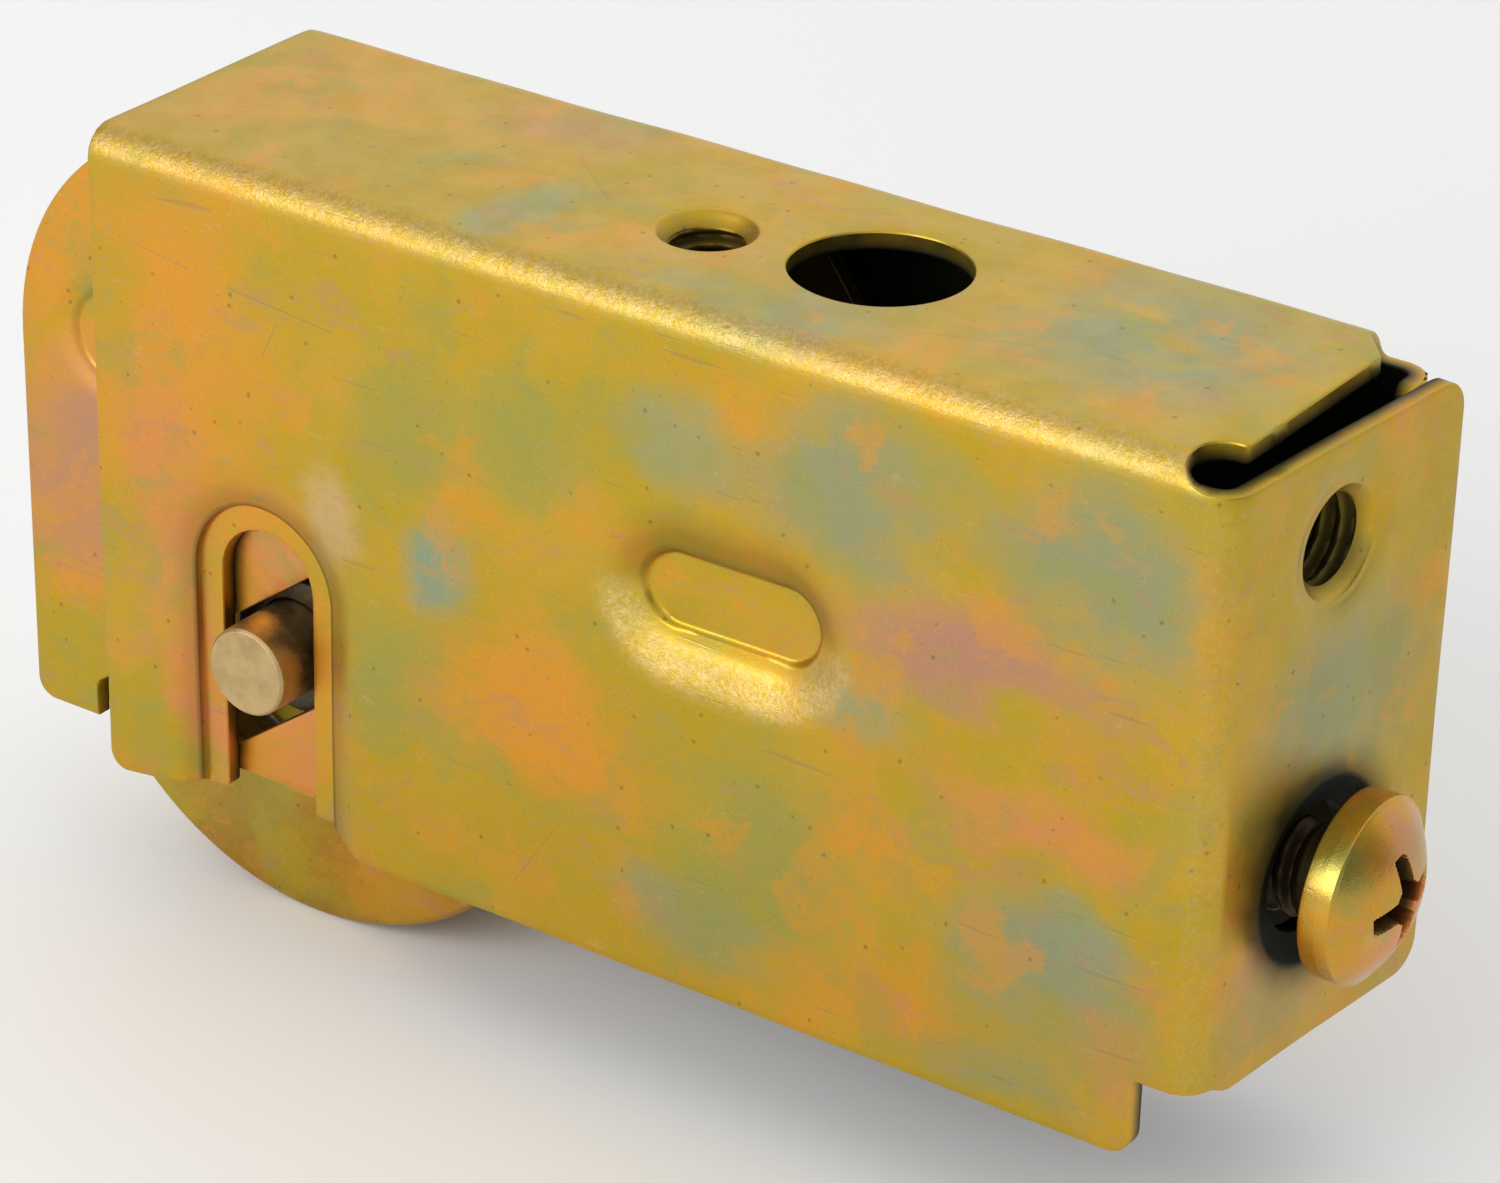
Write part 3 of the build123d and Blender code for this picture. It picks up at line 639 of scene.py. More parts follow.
def wheel_profile():
    """(radius, y) round one shell: hub lip, plain side face, rim, tread, inside."""
    face = rounded([(BORE_R, 0.05, 0), (BORE_R, WHEEL_HALF, 0.6), (WHEEL_R, WHEEL_HALF, 0.45),
                    (WHEEL_R, TREAD_Y, 0.3), (WHEEL_R - 0.35, TREAD_Y - 0.4, 0)], closed=False)
    y_out = np.linspace(TREAD_Y - 0.6, 0.03, 14)
    inner_y = WHEEL_HALF - SHELL
    y_in = np.linspace(0.03, inner_y, 12)
    outer = np.stack([tread(0, y_out), y_out], -1)
    inner = np.stack([tread(SHELL, y_in), y_in], -1)
    back = rounded([(tread(SHELL, inner_y) - 0.1, inner_y, 0), (BORE_R + SHELL, inner_y, 0.5),
                    (BORE_R + SHELL, 0.05, 0)], closed=False)
    return np.concatenate([face, outer, inner, back])


shell_profile = wheel_profile()
for side, name in ((1, "back"), (-1, "front")):
    points, faces = turned(shell_profile * (1, side), 256, AXIS)
    add_piece(f"wheel_{name}", points, faces, "wheel", zinc_wheel, [f"wheel_shell_{name}"])

# %% [markdown]
# ## Axle and bushes
#
# The axle is a plain pin, cropped to length, with a small rounded chamfer. Its end face is the palest
# small thing on the front. The bushes beside the bearing are a dark steel.

# %% Axle and bushes
AXLE_R = (axle_high[0] - axle_low[0]) / 2
AXLE_TIP = axle_high[1]


def axle_profile():
    """(radius, y) from one tip to the other, with a shallow dish in each end face."""
    half = [(0.0, AXLE_TIP - 0.06, 0), (AXLE_R - 0.9, AXLE_TIP - 0.02, 0.8), (AXLE_R - 0.2, AXLE_TIP, 0.08),
            (AXLE_R - 0.03, AXLE_TIP - 0.2, 0.1), (AXLE_R, AXLE_TIP - 1.0, 0.4)]
    other = [(r, -y, k) for r, y, k in reversed(half)]
    return rounded(half + other, step=0.5, closed=False)


points, faces = turned(axle_profile(), 128, AXIS, closed=False)
add_piece("axle_pin", points, faces, "axle", axle_steel, ["axle"])

SPACER_R = (spacer_high[0] - spacer_low[0]) / 2
for side, name in ((1, "back"), (-1, "front")):
    low, high = race_high[1], -spacer_low[1]
    bush = rounded([(AXLE_R + 0.02, low, 0.1), (SPACER_R, low, 0.15), (SPACER_R, high, 0.35),
                    (AXLE_R + 0.02, high, 0.2)], step=0.6)
    points, faces = turned(bush * (1, side), 96, AXIS)
    add_piece(f"bush_{name}", points, faces, "axle", dark_steel, [f"spacer_{name}"])

# %% [markdown]
# ## Sheet metal: punch, press, fold
#
# The housing and the slider start as flat sheets. The real parts are punched flat, pressed, and then
# folded, and the meshes are made in the same order:
#
# 1. **Punch.** The outline and the holes are closed loops in the flat pattern (u, v). Points are spread
#    over the metal, closer together near the loops, and a constrained Delaunay triangulation joins
#    them. Triangles whose middle lies outside the metal fall away, as the scrap does.
# 2. **Press.** Each point gets a depth from a height function: the dishes and the flat lands.
# 3. **Fold.** One function takes (u, v, depth) to a place in space. A fold is an arc of the flat
#    pattern's own length, so nothing stretches.
#
# The inner face is the same set of points one sheet thickness deeper. The cut edges get a small roll,
# which the punch leaves and which catches the light.


# %% Flat pattern helpers
def ring(u, v, radius, count):
    """count points round a circle in the flat pattern."""
    angle = np.linspace(0, 2 * math.pi, count, endpoint=False)
    return np.stack([u + radius * np.cos(angle), v + radius * np.sin(angle)], -1)


def inset(loop, distance):
    """A closed loop moved sideways: each point goes along the mean of its two edges' normals."""
    before = loop - np.roll(loop, 1, 0)
    after = np.roll(before, -1, 0)
    normals = [np.stack([-edge[:, 1], edge[:, 0]], -1) / np.linalg.norm(edge, axis=1)[:, None]
               for edge in (before, after)]
    total = normals[0] + normals[1]
    reach = 1 + (normals[0] * normals[1]).sum(1)
    return loop + total / np.maximum(reach, 0.4)[:, None] * distance


def area(loop):
    """Signed area of a closed loop: positive when it runs counter-clockwise."""
    after = np.roll(loop, -1, 0)
    return 0.5 * (loop[:, 0] * after[:, 1] - after[:, 0] * loop[:, 1]).sum()


def inside(points, loop):
    """Even-odd test of many points against a closed loop, a block of points at a time."""
    start, end = loop, np.roll(loop, -1, 0)
    found = np.zeros(len(points), bool)
    for block in np.array_split(np.arange(len(points)), max(1, len(points) // 4000)):
        x, y = points[block, 0][:, None], points[block, 1][:, None]
        spans = (start[:, 1] > y) != (end[:, 1] > y)
        rise = np.where(end[:, 1] == start[:, 1], 1.0, end[:, 1] - start[:, 1])
        cross = start[:, 0] + (y - start[:, 1]) / rise * (end[:, 0] - start[:, 0])
        found[block] = (spans & (x < cross)).sum(1) % 2 == 1
    return found


def nearest(points, others):
    """Distance from each point to the nearest of the others."""
    best = np.full(len(points), np.inf)
    for block in np.array_split(np.arange(len(points)), max(1, len(points) // 2000)):
        gap = points[block][:, None] - others[None]
        best[block] = np.sqrt((gap ** 2).sum(-1).min(1))
    return best


def smooth(t):
    """0 below 0, 1 above 1, and an S curve between."""
    t = np.clip(t, 0, 1)
    return t * t * (3 - 2 * t)


# %% [markdown]
# The edge roll is three loops: the cut edge itself, lowered the most, and two more just inside it. All
# loops of one hole have the same number of points, so walls between them are plain strips of quads.

# %% Punching
ROLL = ((0.0, 0.13), (0.06, 0.035), (0.17, 0.0))   # distance from the edge, drop of the surface


def punch(outline, holes, creases, fill, spacing):
    """The flat pattern as (points, drops, triangles, loops).

    outline and holes are closed loops; creases are rows of points that triangles' edges must follow,
    so that a steep step stays clean; fill is loose points to spread over the metal. Fill nearer than
    spacing to a loop or a crease is left out. loops gives each cut edge as point indices.
    """
    cut = [outline if area(outline) > 0 else outline[::-1]] + [h if area(h) < 0 else h[::-1] for h in holes]
    banks = [[inset(loop, distance) for distance, _ in ROLL] for loop in cut]
    edge_points = np.concatenate([loop for bank in banks for loop in bank])
    fixed, joins, count = [edge_points], [], len(edge_points)
    for crease in creases:
        keep = inside(crease, cut[0]) & (nearest(crease, edge_points) > 0.1)
        for hole in cut[1:]:
            keep &= ~inside(crease, hole)
        index = count + np.cumsum(keep) - 1
        joins.append(np.stack([index[:-1], index[1:]], -1)[keep[:-1] & keep[1:]])
        fixed.append(crease[keep])
        count += keep.sum()
    fixed = np.concatenate(fixed)
    fill = fill[inside(fill, cut[0])]
    for hole in cut[1:]:
        fill = fill[~inside(fill, hole)]
    fill = fill[nearest(fill, fixed) > spacing]
    points = np.concatenate([fixed, fill])
    drops = np.concatenate([np.full(len(loop), drop) for bank in banks for loop, (_, drop) in zip(bank, ROLL)]
                           + [np.zeros(len(points) - len(edge_points))])
    starts = np.cumsum([0] + [len(loop) for bank in banks for loop in bank])
    edges = []
    for start, end in zip(starts[:-1], starts[1:]):
        index = np.arange(start, end)
        edges.append(np.stack([index, np.roll(index, -1)], -1))
    edges = np.concatenate(edges + joins)
    made = delaunay_2d_cdt([Vector(p) for p in points], edges.tolist(), [], 0, 1e-6)
    flat = np.array([tuple(p) for p in made[0]])
    triangles = np.array([f for f in made[2] if len(f) == 3])
    source = np.array([origin[0] if origin else -1 for origin in made[3]])
    drop = np.where(source >= 0, drops[source], 0.0)
    middle = flat[triangles].mean(1)
    keep = inside(middle, cut[0])
    for hole in cut[1:]:
        keep &= ~inside(middle, hole)
    triangles = triangles[keep]
    place = np.full(len(points), -1)
    for found, origin in enumerate(made[3]):
        for index in origin:
            place[index] = found
    cut_starts = starts[:-1:len(ROLL)]
    loops = [place[start:start + len(loop)] for start, loop in zip(cut_starts, cut)]
    return flat, drop, triangles, loops


def strip(first, second):
    """Quads between two closed rows of point indices."""
    return np.stack([first, np.roll(first, -1), np.roll(second, -1), second], -1)


# %% [markdown]
# A drawn hole is the sheet's own metal pulled through into a collar and tapped. Its profile is a list
# of (radius, depth) rows: conical mouth, threaded bore, torn rim, outside of the collar, and a root
# curve back into the sheet's inner face. The thread is a screw surface: each row's radius grows with
# a sawtooth of depth / pitch minus angle / full turn, so it closes on itself after one turn.

# %% Drawn holes and sheet assembly
COLLAR = 2.6
COLLAR_WALL = 0.8
DRAWN_MARGIN = 1.3     # the collar's own mesh starts this far outside the bore
THREAD_START = 0.85    # depth of the first turn
# The mouth's cone: (distance outside the bore, depth), from the sheet's face inward.
MOUTH = ((1.1, 0.0), (0.86, 0.0), (0.76, 0.04), (0.66, 0.14), (0.50, 0.32), (0.30, 0.52),
         (0.12, 0.68), (0.03, 0.78))


def thread_wave(turns):
    """A V thread's flank height: 0 at the crest, 1 at the root, with both slightly rounded."""
    saw = np.abs(turns % 1.0 - 0.5) * 2
    return smooth(saw * 1.15 - 0.075)


def drawn_rows(radius, pitch, angle):
    """Rows of (radius, depth) round a tapped collar, from the outer face to the inner one."""
    flat = 0 * angle
    rows = [(radius + more + flat, depth + flat) for more, depth in MOUTH]
    bottom = SHEET + COLLAR
    for depth in np.arange(THREAD_START, bottom - 0.2, pitch / 12):
        cut = 0.55 * pitch * thread_wave(depth / pitch - angle / (2 * math.pi))
        fade = smooth((depth - 0.5 * THREAD_START) / 0.35)
        rows.append((radius + cut * fade, depth + flat))
    torn = 0.10 * np.sin(5 * angle) + 0.07 * np.sin(11 * angle + 1.0)
    outside = radius + COLLAR_WALL + flat
    rows.append((radius + 0.16 + flat, bottom - 0.05 + torn))
    rows.append((outside - 0.18, bottom + torn))
    rows.append((outside, bottom - 0.18 + torn))
    rows.append((outside, SHEET + 0.5 + flat))
    rows.append((outside + 0.12, SHEET + 0.14 + flat))
    rows.append((outside + 0.35, SHEET + flat))
    return rows


def fold_sheet(outline, holes, drawn, creases, fill, spacing, press, fold, worked_and_highlight_at, painted_shade):
    """Punches, presses and folds one sheet. drawn lists (u, v, radius, pitch) tapped holes.

    Each outer point is fold(u, v, press + drop), and its inner twin is a sheet deeper. The marks are
    painted shade, on the whole inner face and where the shade function darkens the outer face, and a
    painted highlight with the bent metal's grain, where the highlight function puts it.
    """
    drawn_loops = [ring(u, v, radius + DRAWN_MARGIN, 96) for u, v, radius, _ in drawn]
    flat, drop, triangles, loops = punch(outline, holes + drawn_loops, creases, fill, spacing)
    depth = press(flat[:, 0], flat[:, 1])
    for u, v, radius, _ in drawn:
        drop[np.hypot(flat[:, 0] - u, flat[:, 1] - v) < radius + DRAWN_MARGIN + 0.3] = 0.0
    outer = fold(flat[:, 0], flat[:, 1], depth + drop)
    inner = fold(flat[:, 0], flat[:, 1], depth + SHEET - drop)
    count = len(flat)
    worked_and_highlight = worked_and_highlight_at(flat[:, 0], flat[:, 1])
    # Painted shade: 1 on the inner face, the shade function's values on the outer face.
    marks = {"inner": [painted_shade(flat[:, 0], flat[:, 1]), np.ones(count)], "worked_and_highlight": [worked_and_highlight, worked_and_highlight]}
    points = [outer, inner]
    faces = [triangles, triangles[:, ::-1] + count]
    quads = [strip(loop, loop + count) for loop in loops[:len(loops) - len(drawn)]]
    total = 2 * count
    for (u, v, radius, pitch), loop in zip(drawn, loops[len(loops) - len(drawn):]):
        angle = np.arctan2(flat[loop, 1] - v, flat[loop, 0] - u)
        base = press(np.array([u]), np.array([v]))[0]
        previous = loop
        for row_radius, row_depth in drawn_rows(radius, pitch, angle):
            row = fold(u + row_radius * np.cos(angle), v + row_radius * np.sin(angle), base + row_depth)
            index = np.arange(total, total + len(loop))
            points.append(row)
            # Painted shade: the tapped bore darkens with its depth.
            marks["inner"].append(smooth((row_depth - 0.1) / 1.2) * 0.75)
            marks["worked_and_highlight"].append(0 * angle)
            quads.append(strip(previous, index))
            previous = index
            total += len(loop)
        quads.append(strip(previous, loop + count))
    marks = {name: np.concatenate(values) for name, values in marks.items()}
    return np.concatenate(points), faces + [np.concatenate(quads)], marks


# %% [markdown]
# ## Housing: its flat pattern
#
# u runs along the housing, v across it: the top plate in the middle, the front side below it (v
# negative) and the back side above. The end flange grows out of the front side, and a short lip out
# of the back one. A notch frees the top plate's tongue from both folds.

# %% Housing sizes
FLANGE_TOP = 1.5
FLANGE_BOTTOM = 39.6
STEP_X, STEP_Z = 63.65, -38.8        # the sides' bottom edges step up here, below the flange
LIP_Z = -2.0                         # top of the back side's lip
NOTCH_CUT = 3.8                      # the notch reaches this far in from the front side's face
ARCH_X, ARCH_Z, ARCH_R = 0.05, -27.5, 3.55
LAND_R = ARCH_R + 1.75
DISH, DISH_W, PRESS = 0.72, 3.4, 0.40
DIMPLE_X, DIMPLE_Z, DIMPLE_HALF, DIMPLE_R = 34.85, -18.3, 3.75, 2.4
FLANGE_OPEN = 2.0
TILT = math.atan2(FLANGE_OPEN, 2 * HALF - BEND)
FLANGE_U = RIGHT - BEND                       # both upright folds start here
FLANGE_ARC = BEND * (math.pi / 2 - TILT)
REACH = (HALF - 0.4 + HALF - BEND) / math.cos(TILT)
LIP_ARC = BEND * math.pi / 2
LIP_REACH = 1.4


def across(z):
    """How far from the middle of the flat pattern a height z on a side lies."""
    return FLAT + ARC - z - BEND


LEFT_LIFT = 1.1        # the foot left of the slot slopes up this far
RIGHT_LIFT = 1.3       # and the raised land right of it ends this far up
SLOT_LEFT, SLOT_RIGHT = ARCH_X - ARCH_R, ARCH_X + ARCH_R
BOTTOM, FOOT = across(-HEIGHT), across(STEP_Z)
FLANGE_FOOT = across(-FLANGE_BOTTOM)
FRONT_TOP = across(-FLANGE_TOP)
LIP_TOP = across(LIP_Z)
FLANGE_END = FLANGE_U + FLANGE_ARC + REACH
LIP_END = FLANGE_U + LIP_ARC + LIP_REACH
NOTCH_X = STEP_X + 0.2
TONGUE_X = 66.0
print("flange ends at u", round(FLANGE_END, 2), "lip at u", round(LIP_END, 2))


# %% Housing outline
def slot_corners(side):
    """The upright slot as a notch in a side's bottom edge, with a round top."""
    land = LAND_R + 0.1
    top = across(ARCH_Z + ARCH_R)
    return [(SLOT_LEFT, side * (BOTTOM - LEFT_LIFT), 0.3),
            (SLOT_LEFT, side * top, ARCH_R - 0.01), (SLOT_RIGHT, side * top, ARCH_R - 0.01),
            (SLOT_RIGHT, side * (BOTTOM - RIGHT_LIFT), 0.3),
            (ARCH_X + land, side * (BOTTOM - RIGHT_LIFT), 0.8),
            (ARCH_X + land + 2.0, side * BOTTOM, 2.2)]


def housing_outline():
    """Corners (u, v, radius), counter-clockwise from the front side's lower left corner."""
    front = [(LEFT, -BOTTOM, 1.3), *slot_corners(-1), (STEP_X, -BOTTOM, 1.6), (STEP_X, -FOOT, 0.3),
             (FLANGE_U + FLANGE_ARC, -FOOT, 2.0), (FLANGE_U + FLANGE_ARC + 1.6, -FLANGE_FOOT, 2.0),
             (FLANGE_END, -FLANGE_FOOT, 2.0), (FLANGE_END, -FRONT_TOP, 2.0), (NOTCH_X, -FRONT_TOP, 1.9),
             (NOTCH_X, NOTCH_CUT - HALF, 1.7), (TONGUE_X, NOTCH_CUT - HALF, 0.3)]
    back = [(TONGUE_X, 7.1, 0.4), (NOTCH_X, 9.8, 0.3), (NOTCH_X, LIP_TOP, 0.6), (LIP_END, LIP_TOP, 0.8),
            (LIP_END, FOOT, 0.8), (STEP_X, FOOT, 0.3), (STEP_X, BOTTOM, 1.6), *slot_corners(1)[::-1],
            (LEFT, BOTTOM, 1.3)]
    return rounded(front + back, step=0.7)


outline = housing_outline()
print("housing outline:", len(outline), "points, area", round(area(outline)), "mm2")


# %% Housing fold
def fold_housing(u, v, depth):
    """Flat (u, v) and depth to a place.

    Across: v up to FLAT is the top face; then an arc of radius BEND; then straight down a side.
    Along: past FLANGE_U the front side turns by 90 degrees less TILT, and the back side by 90.
    The place is the outer face's point less depth times its outward normal.
    """
    side, w = np.sign(v), np.abs(v)
    turn = np.clip((w - FLAT) / BEND, 0, math.pi / 2)
    y = np.minimum(w, FLAT) + BEND * np.sin(turn)
    z = -BEND * (1 - np.cos(turn)) - np.maximum(w - FLAT - ARC, 0)
    normal_y, normal_z = np.sin(turn), np.cos(turn)
    free = smooth((u - (STEP_X - 0.8)) / 1.2) * smooth((w - (LIP_TOP - 0.9)) / 0.6)
    straight = -(w - FLAT - ARC) - BEND
    y = y + (HALF - y) * free
    z = z + (straight - z) * free
    normal_y = normal_y + (1 - normal_y) * free
    normal_z = normal_z * (1 - free)
    place = np.stack([u, side * y, z], -1)
    normal = np.stack([0 * u, side * normal_y, normal_z], -1)
    limit = np.where(v < 0, math.pi / 2 - TILT, math.pi / 2)
    swing = np.clip((u - FLANGE_U) / BEND, 0, limit)
    past = np.maximum(u - FLANGE_U - BEND * limit, 0)
    x = FLANGE_U + BEND * np.sin(swing) + past * np.cos(swing)
    inward = HALF - BEND + BEND * np.cos(swing) - past * np.sin(swing)
    upright = (w > FLAT + 0.8) & (u > FLANGE_U)
    folded = np.stack([x, side * inward, z], -1)
    folded_normal = np.stack([np.sin(swing), side * np.cos(swing), 0 * u], -1)
    place = np.where(upright[:, None], folded, place)
    normal = np.where(upright[:, None], folded_normal, normal)
    return place - normal * np.asarray(depth)[..., None]


# %% [markdown]
# The pressed shapes are distances turned into depths. Around the upright slot and around the oblong
# dimple a soft dish leads down to a small steep step, and inside the step lies a flat land. The hole
# for the adjusting screw and the tapped holes pull the sheet in a little around them.

# %% Housing press
hole_flat = {name: np.array(mounts[name]["pos_m"]) / MM for name in
             ("top_screw_hole", "top_access_hole", "end_screw_hole")}
TOP_HOLE = hole_flat["top_screw_hole"][:2]
ACCESS_HOLE = hole_flat["top_access_hole"][:2]
ACCESS_R = mounts["top_access_hole"]["dims"]["r_mm"]
TOP_HOLE_R = mounts["top_screw_hole"]["dims"]["r_mm"]
END_HOLE_R = mounts["end_screw_hole"]["dims"]["r_mm"]
CLEAR_R = 3.95
CLEAR_Z = -28.6


def on_flange(y, z):
    """Flat coordinates of the flange's point at y and z."""
    return np.array((FLANGE_U + FLANGE_ARC + (y + HALF - BEND) / math.cos(TILT), -across(z)))


END_HOLE = on_flange(hole_flat["end_screw_hole"][1], hole_flat["end_screw_hole"][2])
CLEAR_HOLE = on_flange(0.0, CLEAR_Z)


# centre, reach, width of the slope, depth
PULLED_IN = [(CLEAR_HOLE, 6.2, 2.1, 0.75), (END_HOLE, 4.9, 1.5, 0.30), (TOP_HOLE, 5.0, 2.0, 0.12)]


def slot_distance(u, v):
    """Distance from the upright slot's centre line, which ends at its round top's centre."""
    z = FLAT + ARC - BEND - np.abs(v)
    return np.where(z > ARCH_Z, np.hypot(u - ARCH_X, z - ARCH_Z), np.abs(u - ARCH_X))


def dimple_distance(u, v, half):
    """Distance from a level line of the given half length through the dimple's centre."""
    z = FLAT + ARC - BEND - np.abs(v)
    return np.hypot(np.maximum(np.abs(u - DIMPLE_X) - half, 0), z - DIMPLE_Z)


def press_housing(u, v):
    """Depth of every dish and land, plus the slow waviness of a sheet that was folded cold."""
    sides = np.abs(v) > FLAT + ARC
    slot = slot_distance(u, v)
    dish = np.clip((LAND_R + DISH_W - slot) / DISH_W, 0, 1)
    depth = sides * DISH * dish * smooth(dish * 1.1)
    depth += sides * PRESS * smooth((LAND_R + 0.07 - slot) / 0.14)
    dish = np.clip((6.6 - dimple_distance(u, v, 3.0)) / 4.0, 0, 1)
    depth += sides * 1.15 * dish * smooth(dish * 1.15)
    depth += sides * 0.34 * smooth((DIMPLE_R + 0.17 - dimple_distance(u, v, DIMPLE_HALF)) / 0.36)
    for centre, reach, width, amount in PULLED_IN:
        away = np.hypot(u - centre[0], v - centre[1])
        depth += amount * smooth((reach - away) / width)
    wave = np.sin(0.21 * u + 0.6) * np.sin(0.17 * v + 0.4) + 0.6 * np.sin(0.47 * u - 0.31 * v)
    return depth + 0.035 * wave


def hump(share):
    """1 at one half, falling to nothing at 0 and 1."""
    return smooth((0.5 - np.abs(share - 0.5)) / 0.35)


def worked_and_highlight_housing(u, v):
    """Where a highlight is painted, with the bent metal's grain: along the folds and on the dimple's lower
    slope.
    """
    w = np.abs(v)
    sides = w > FLAT + ARC
    top_fold = hump((w - FLAT) / ARC) * (u < FLANGE_U)
    end_fold = 0.25 * hump((u - FLANGE_U) / LIP_ARC) * sides
    # Only the dimple's lower slope, which faces up towards the key lamp, gets the painted highlight.
    low = smooth((w - across(DIMPLE_Z)) / 2.0 + 0.3)
    dimple = hump((dimple_distance(u, v, 3.0) - 2.9) / 3.6) * sides * low
    return np.maximum(top_fold, np.maximum(end_fold, dimple))


def painted_shade_housing(u, v):
    """Painted shade: at the foot of each step, and in the dish round the screw's hole, which the screw's head
    shades.
    """
    w = np.abs(v)
    sides = w > FLAT + ARC
    slot = slot_distance(u, v) - LAND_R
    dark = 0.6 * smooth((slot + 0.05) / 0.1) * smooth((0.5 - slot) / 0.3)
    dark = np.maximum(dark, 0.28 * smooth((slot + 0.05) / 0.1) * smooth((1.9 - slot) / 1.8)) * sides
    step = dimple_distance(u, v, DIMPLE_HALF) - DIMPLE_R
    high = smooth((across(DIMPLE_Z) - w) / 2.0 + 0.5)
    dimple = 0.5 * smooth((step + 0.05) / 0.2) * smooth((0.6 - step) / 0.3)
    dimple = np.maximum(dimple, 0.3 * smooth((step + 0.05) / 0.2) * smooth((2.4 - step) / 2.2))
    dark = np.maximum(dark, dimple * high * sides)
    dish = np.hypot(u - CLEAR_HOLE[0], v - CLEAR_HOLE[1])
    return np.maximum(dark, np.maximum(smooth((6.5 - dish) / 0.9), 0.35 * smooth((8.2 - dish) / 1.9)))


# %% [markdown]
# Creases follow the shapes: rows round the slot and ovals round the dimple, with one on each side of a
# steep step. All rows round one shape have the same number of points, so the triangles between them
# line up. An even grid fills the rest.


# %% Housing creases and fill points
def slot_creases(side):
    """Rows of points that follow the slot's outline at growing distances: leg, round top, leg."""
    rows = []
    leg = np.arange(BOTTOM - 0.25, across(ARCH_Z) + 0.25, -0.5)
    angle = np.linspace(math.pi, 0, 52)
    for away in (3.95, 4.5, 4.95, 5.16, 5.23, 5.3, 5.37, 5.44, 5.7, 6.1, 6.6, 7.2, 7.8, 8.4, 9.0):
        left = np.stack([ARCH_X - away + 0 * leg, leg], -1)
        top = np.stack([ARCH_X + away * np.cos(angle), across(ARCH_Z + away * np.sin(angle))], -1)
        right = np.stack([ARCH_X + away + 0 * leg, leg], -1)[::-1]
        rows.append(np.concatenate([left, top, right]) * (1, side))
    return rows


def dimple_creases(side):
    """Oblong rings round the dimple: a circle cut in two and drawn apart."""
    rows = []
    turn = np.linspace(-math.pi / 2, math.pi / 2, 25)
    run = np.linspace(1, -1, 16)[1:-1]
    for away, half in ((0.7, 3.6), (1.5, 3.7), (2.08, 3.75), (2.2, 3.75), (2.3, 3.75), (2.4, 3.75),
                       (2.5, 3.75), (2.62, 3.72), (2.8, 3.6), (3.2, 3.4), (3.6, 3.2), (4.1, 3.1),
                       (4.6, 3.0), (5.1, 3.0), (5.6, 3.0), (6.1, 3.0), (6.6, 3.0)):
        right = np.stack([half + away * np.cos(turn), away * np.sin(turn)], -1)
        top = np.stack([half * run, away + 0 * run], -1)
        oval = np.concatenate([right, top, -right, -top, right[:1]])
        rows.append((oval + (DIMPLE_X, across(DIMPLE_Z))) * (1, side))
    return rows


def hole_rings(centre, radius, reach):
    """Circles round a hole, out to reach."""
    return [ring(*centre, r, 64) for r in np.arange(radius + 0.45, reach, 0.4)]


def housing_fill():
    """An even grid, closer along the folds and left out round the shapes, and rings round the holes."""
    fold_rows = FLAT + ARC * np.arange(0, 9) / 8
    v_half = np.concatenate([np.arange(0.6, FLAT, 1.2), fold_rows, np.arange(FLAT + ARC + 0.7, BOTTOM, 1.1)])
    v_rows = np.concatenate([-v_half[::-1], v_half])
    u_fold = FLANGE_U + LIP_ARC * np.arange(0, 9) / 8
    u_rows = np.concatenate([np.arange(LEFT + 0.6, FLANGE_U - 0.4, 1.0), u_fold,
                             np.arange(FLANGE_U + LIP_ARC + 0.8, FLANGE_END, 1.1)])
    grid = np.stack(np.meshgrid(u_rows, v_rows, indexing="ij"), -1).reshape(-1, 2)
    sides = np.abs(grid[:, 1]) > FLAT + ARC - 0.01
    crowded = sides & (slot_distance(grid[:, 0], grid[:, 1]) < 9.6)
    crowded |= sides & (dimple_distance(grid[:, 0], grid[:, 1], 3.0) < 7.0)
    for centre, reach in ((CLEAR_HOLE, 6.6), (END_HOLE, 6.0), (TOP_HOLE, 5.6), (ACCESS_HOLE, ACCESS_R + 1.0)):
        crowded |= np.hypot(*(grid - centre).T) < reach
    rings = hole_rings(CLEAR_HOLE, CLEAR_R, 6.4) + hole_rings(END_HOLE, END_HOLE_R + DRAWN_MARGIN, 5.8)
    rings += hole_rings(TOP_HOLE, TOP_HOLE_R + DRAWN_MARGIN, 5.4)
    return np.concatenate([grid[~crowded], *rings])


# %% Housing
drawn = [(*TOP_HOLE, TOP_HOLE_R, 1.058), (*END_HOLE, END_HOLE_R, 1.27)]
plain = [ring(*ACCESS_HOLE, ACCESS_R, 120), ring(*CLEAR_HOLE, CLEAR_R, 96)]
creases = [row for side in (-1, 1) for row in slot_creases(side) + dimple_creases(side)]
points, faces, marks = fold_sheet(outline, plain, drawn, creases, housing_fill(), 0.28, press_housing,
                                  fold_housing, worked_and_highlight_housing, painted_shade_housing)
add_piece("housing_sheet", points, faces, "housing", zinc_sheet, ["housing"], marks=marks)

# %% [markdown]
# ## Slider
#
# The slider is a second folded sheet inside the first: two plates and an end wall that is drawn and
# tapped as the screw's nut. Its flat pattern runs round the end wall: u is the distance from the
# wall's middle, and v is the height. The slanted slot is open at the bottom left of each plate.

# %% Slider sizes and fold
WALL_X = slider_high[0]
S_HALF = -slider_low[1]
S_LEFT = slider_low[0]
S_BOTTOM = slider_low[2]
S_TOP = slider_high[2]
WALL_TOP = -17.0
NOSE_R, NOSE_Z = 16.5, -16.2
SLOT_SLOPE = math.radians(36.0)
SLANT_HALF = 3.7
SLANT_Z = AXLE_Z - 0.4
SLANT_RUN = 8.0 / math.cos(SLOT_SLOPE)
WALL_HALF = S_HALF - BEND


def plate_u(x):
    """Flat coordinate of a place x on a plate."""
    return WALL_HALF + ARC + (WALL_X - BEND - x)


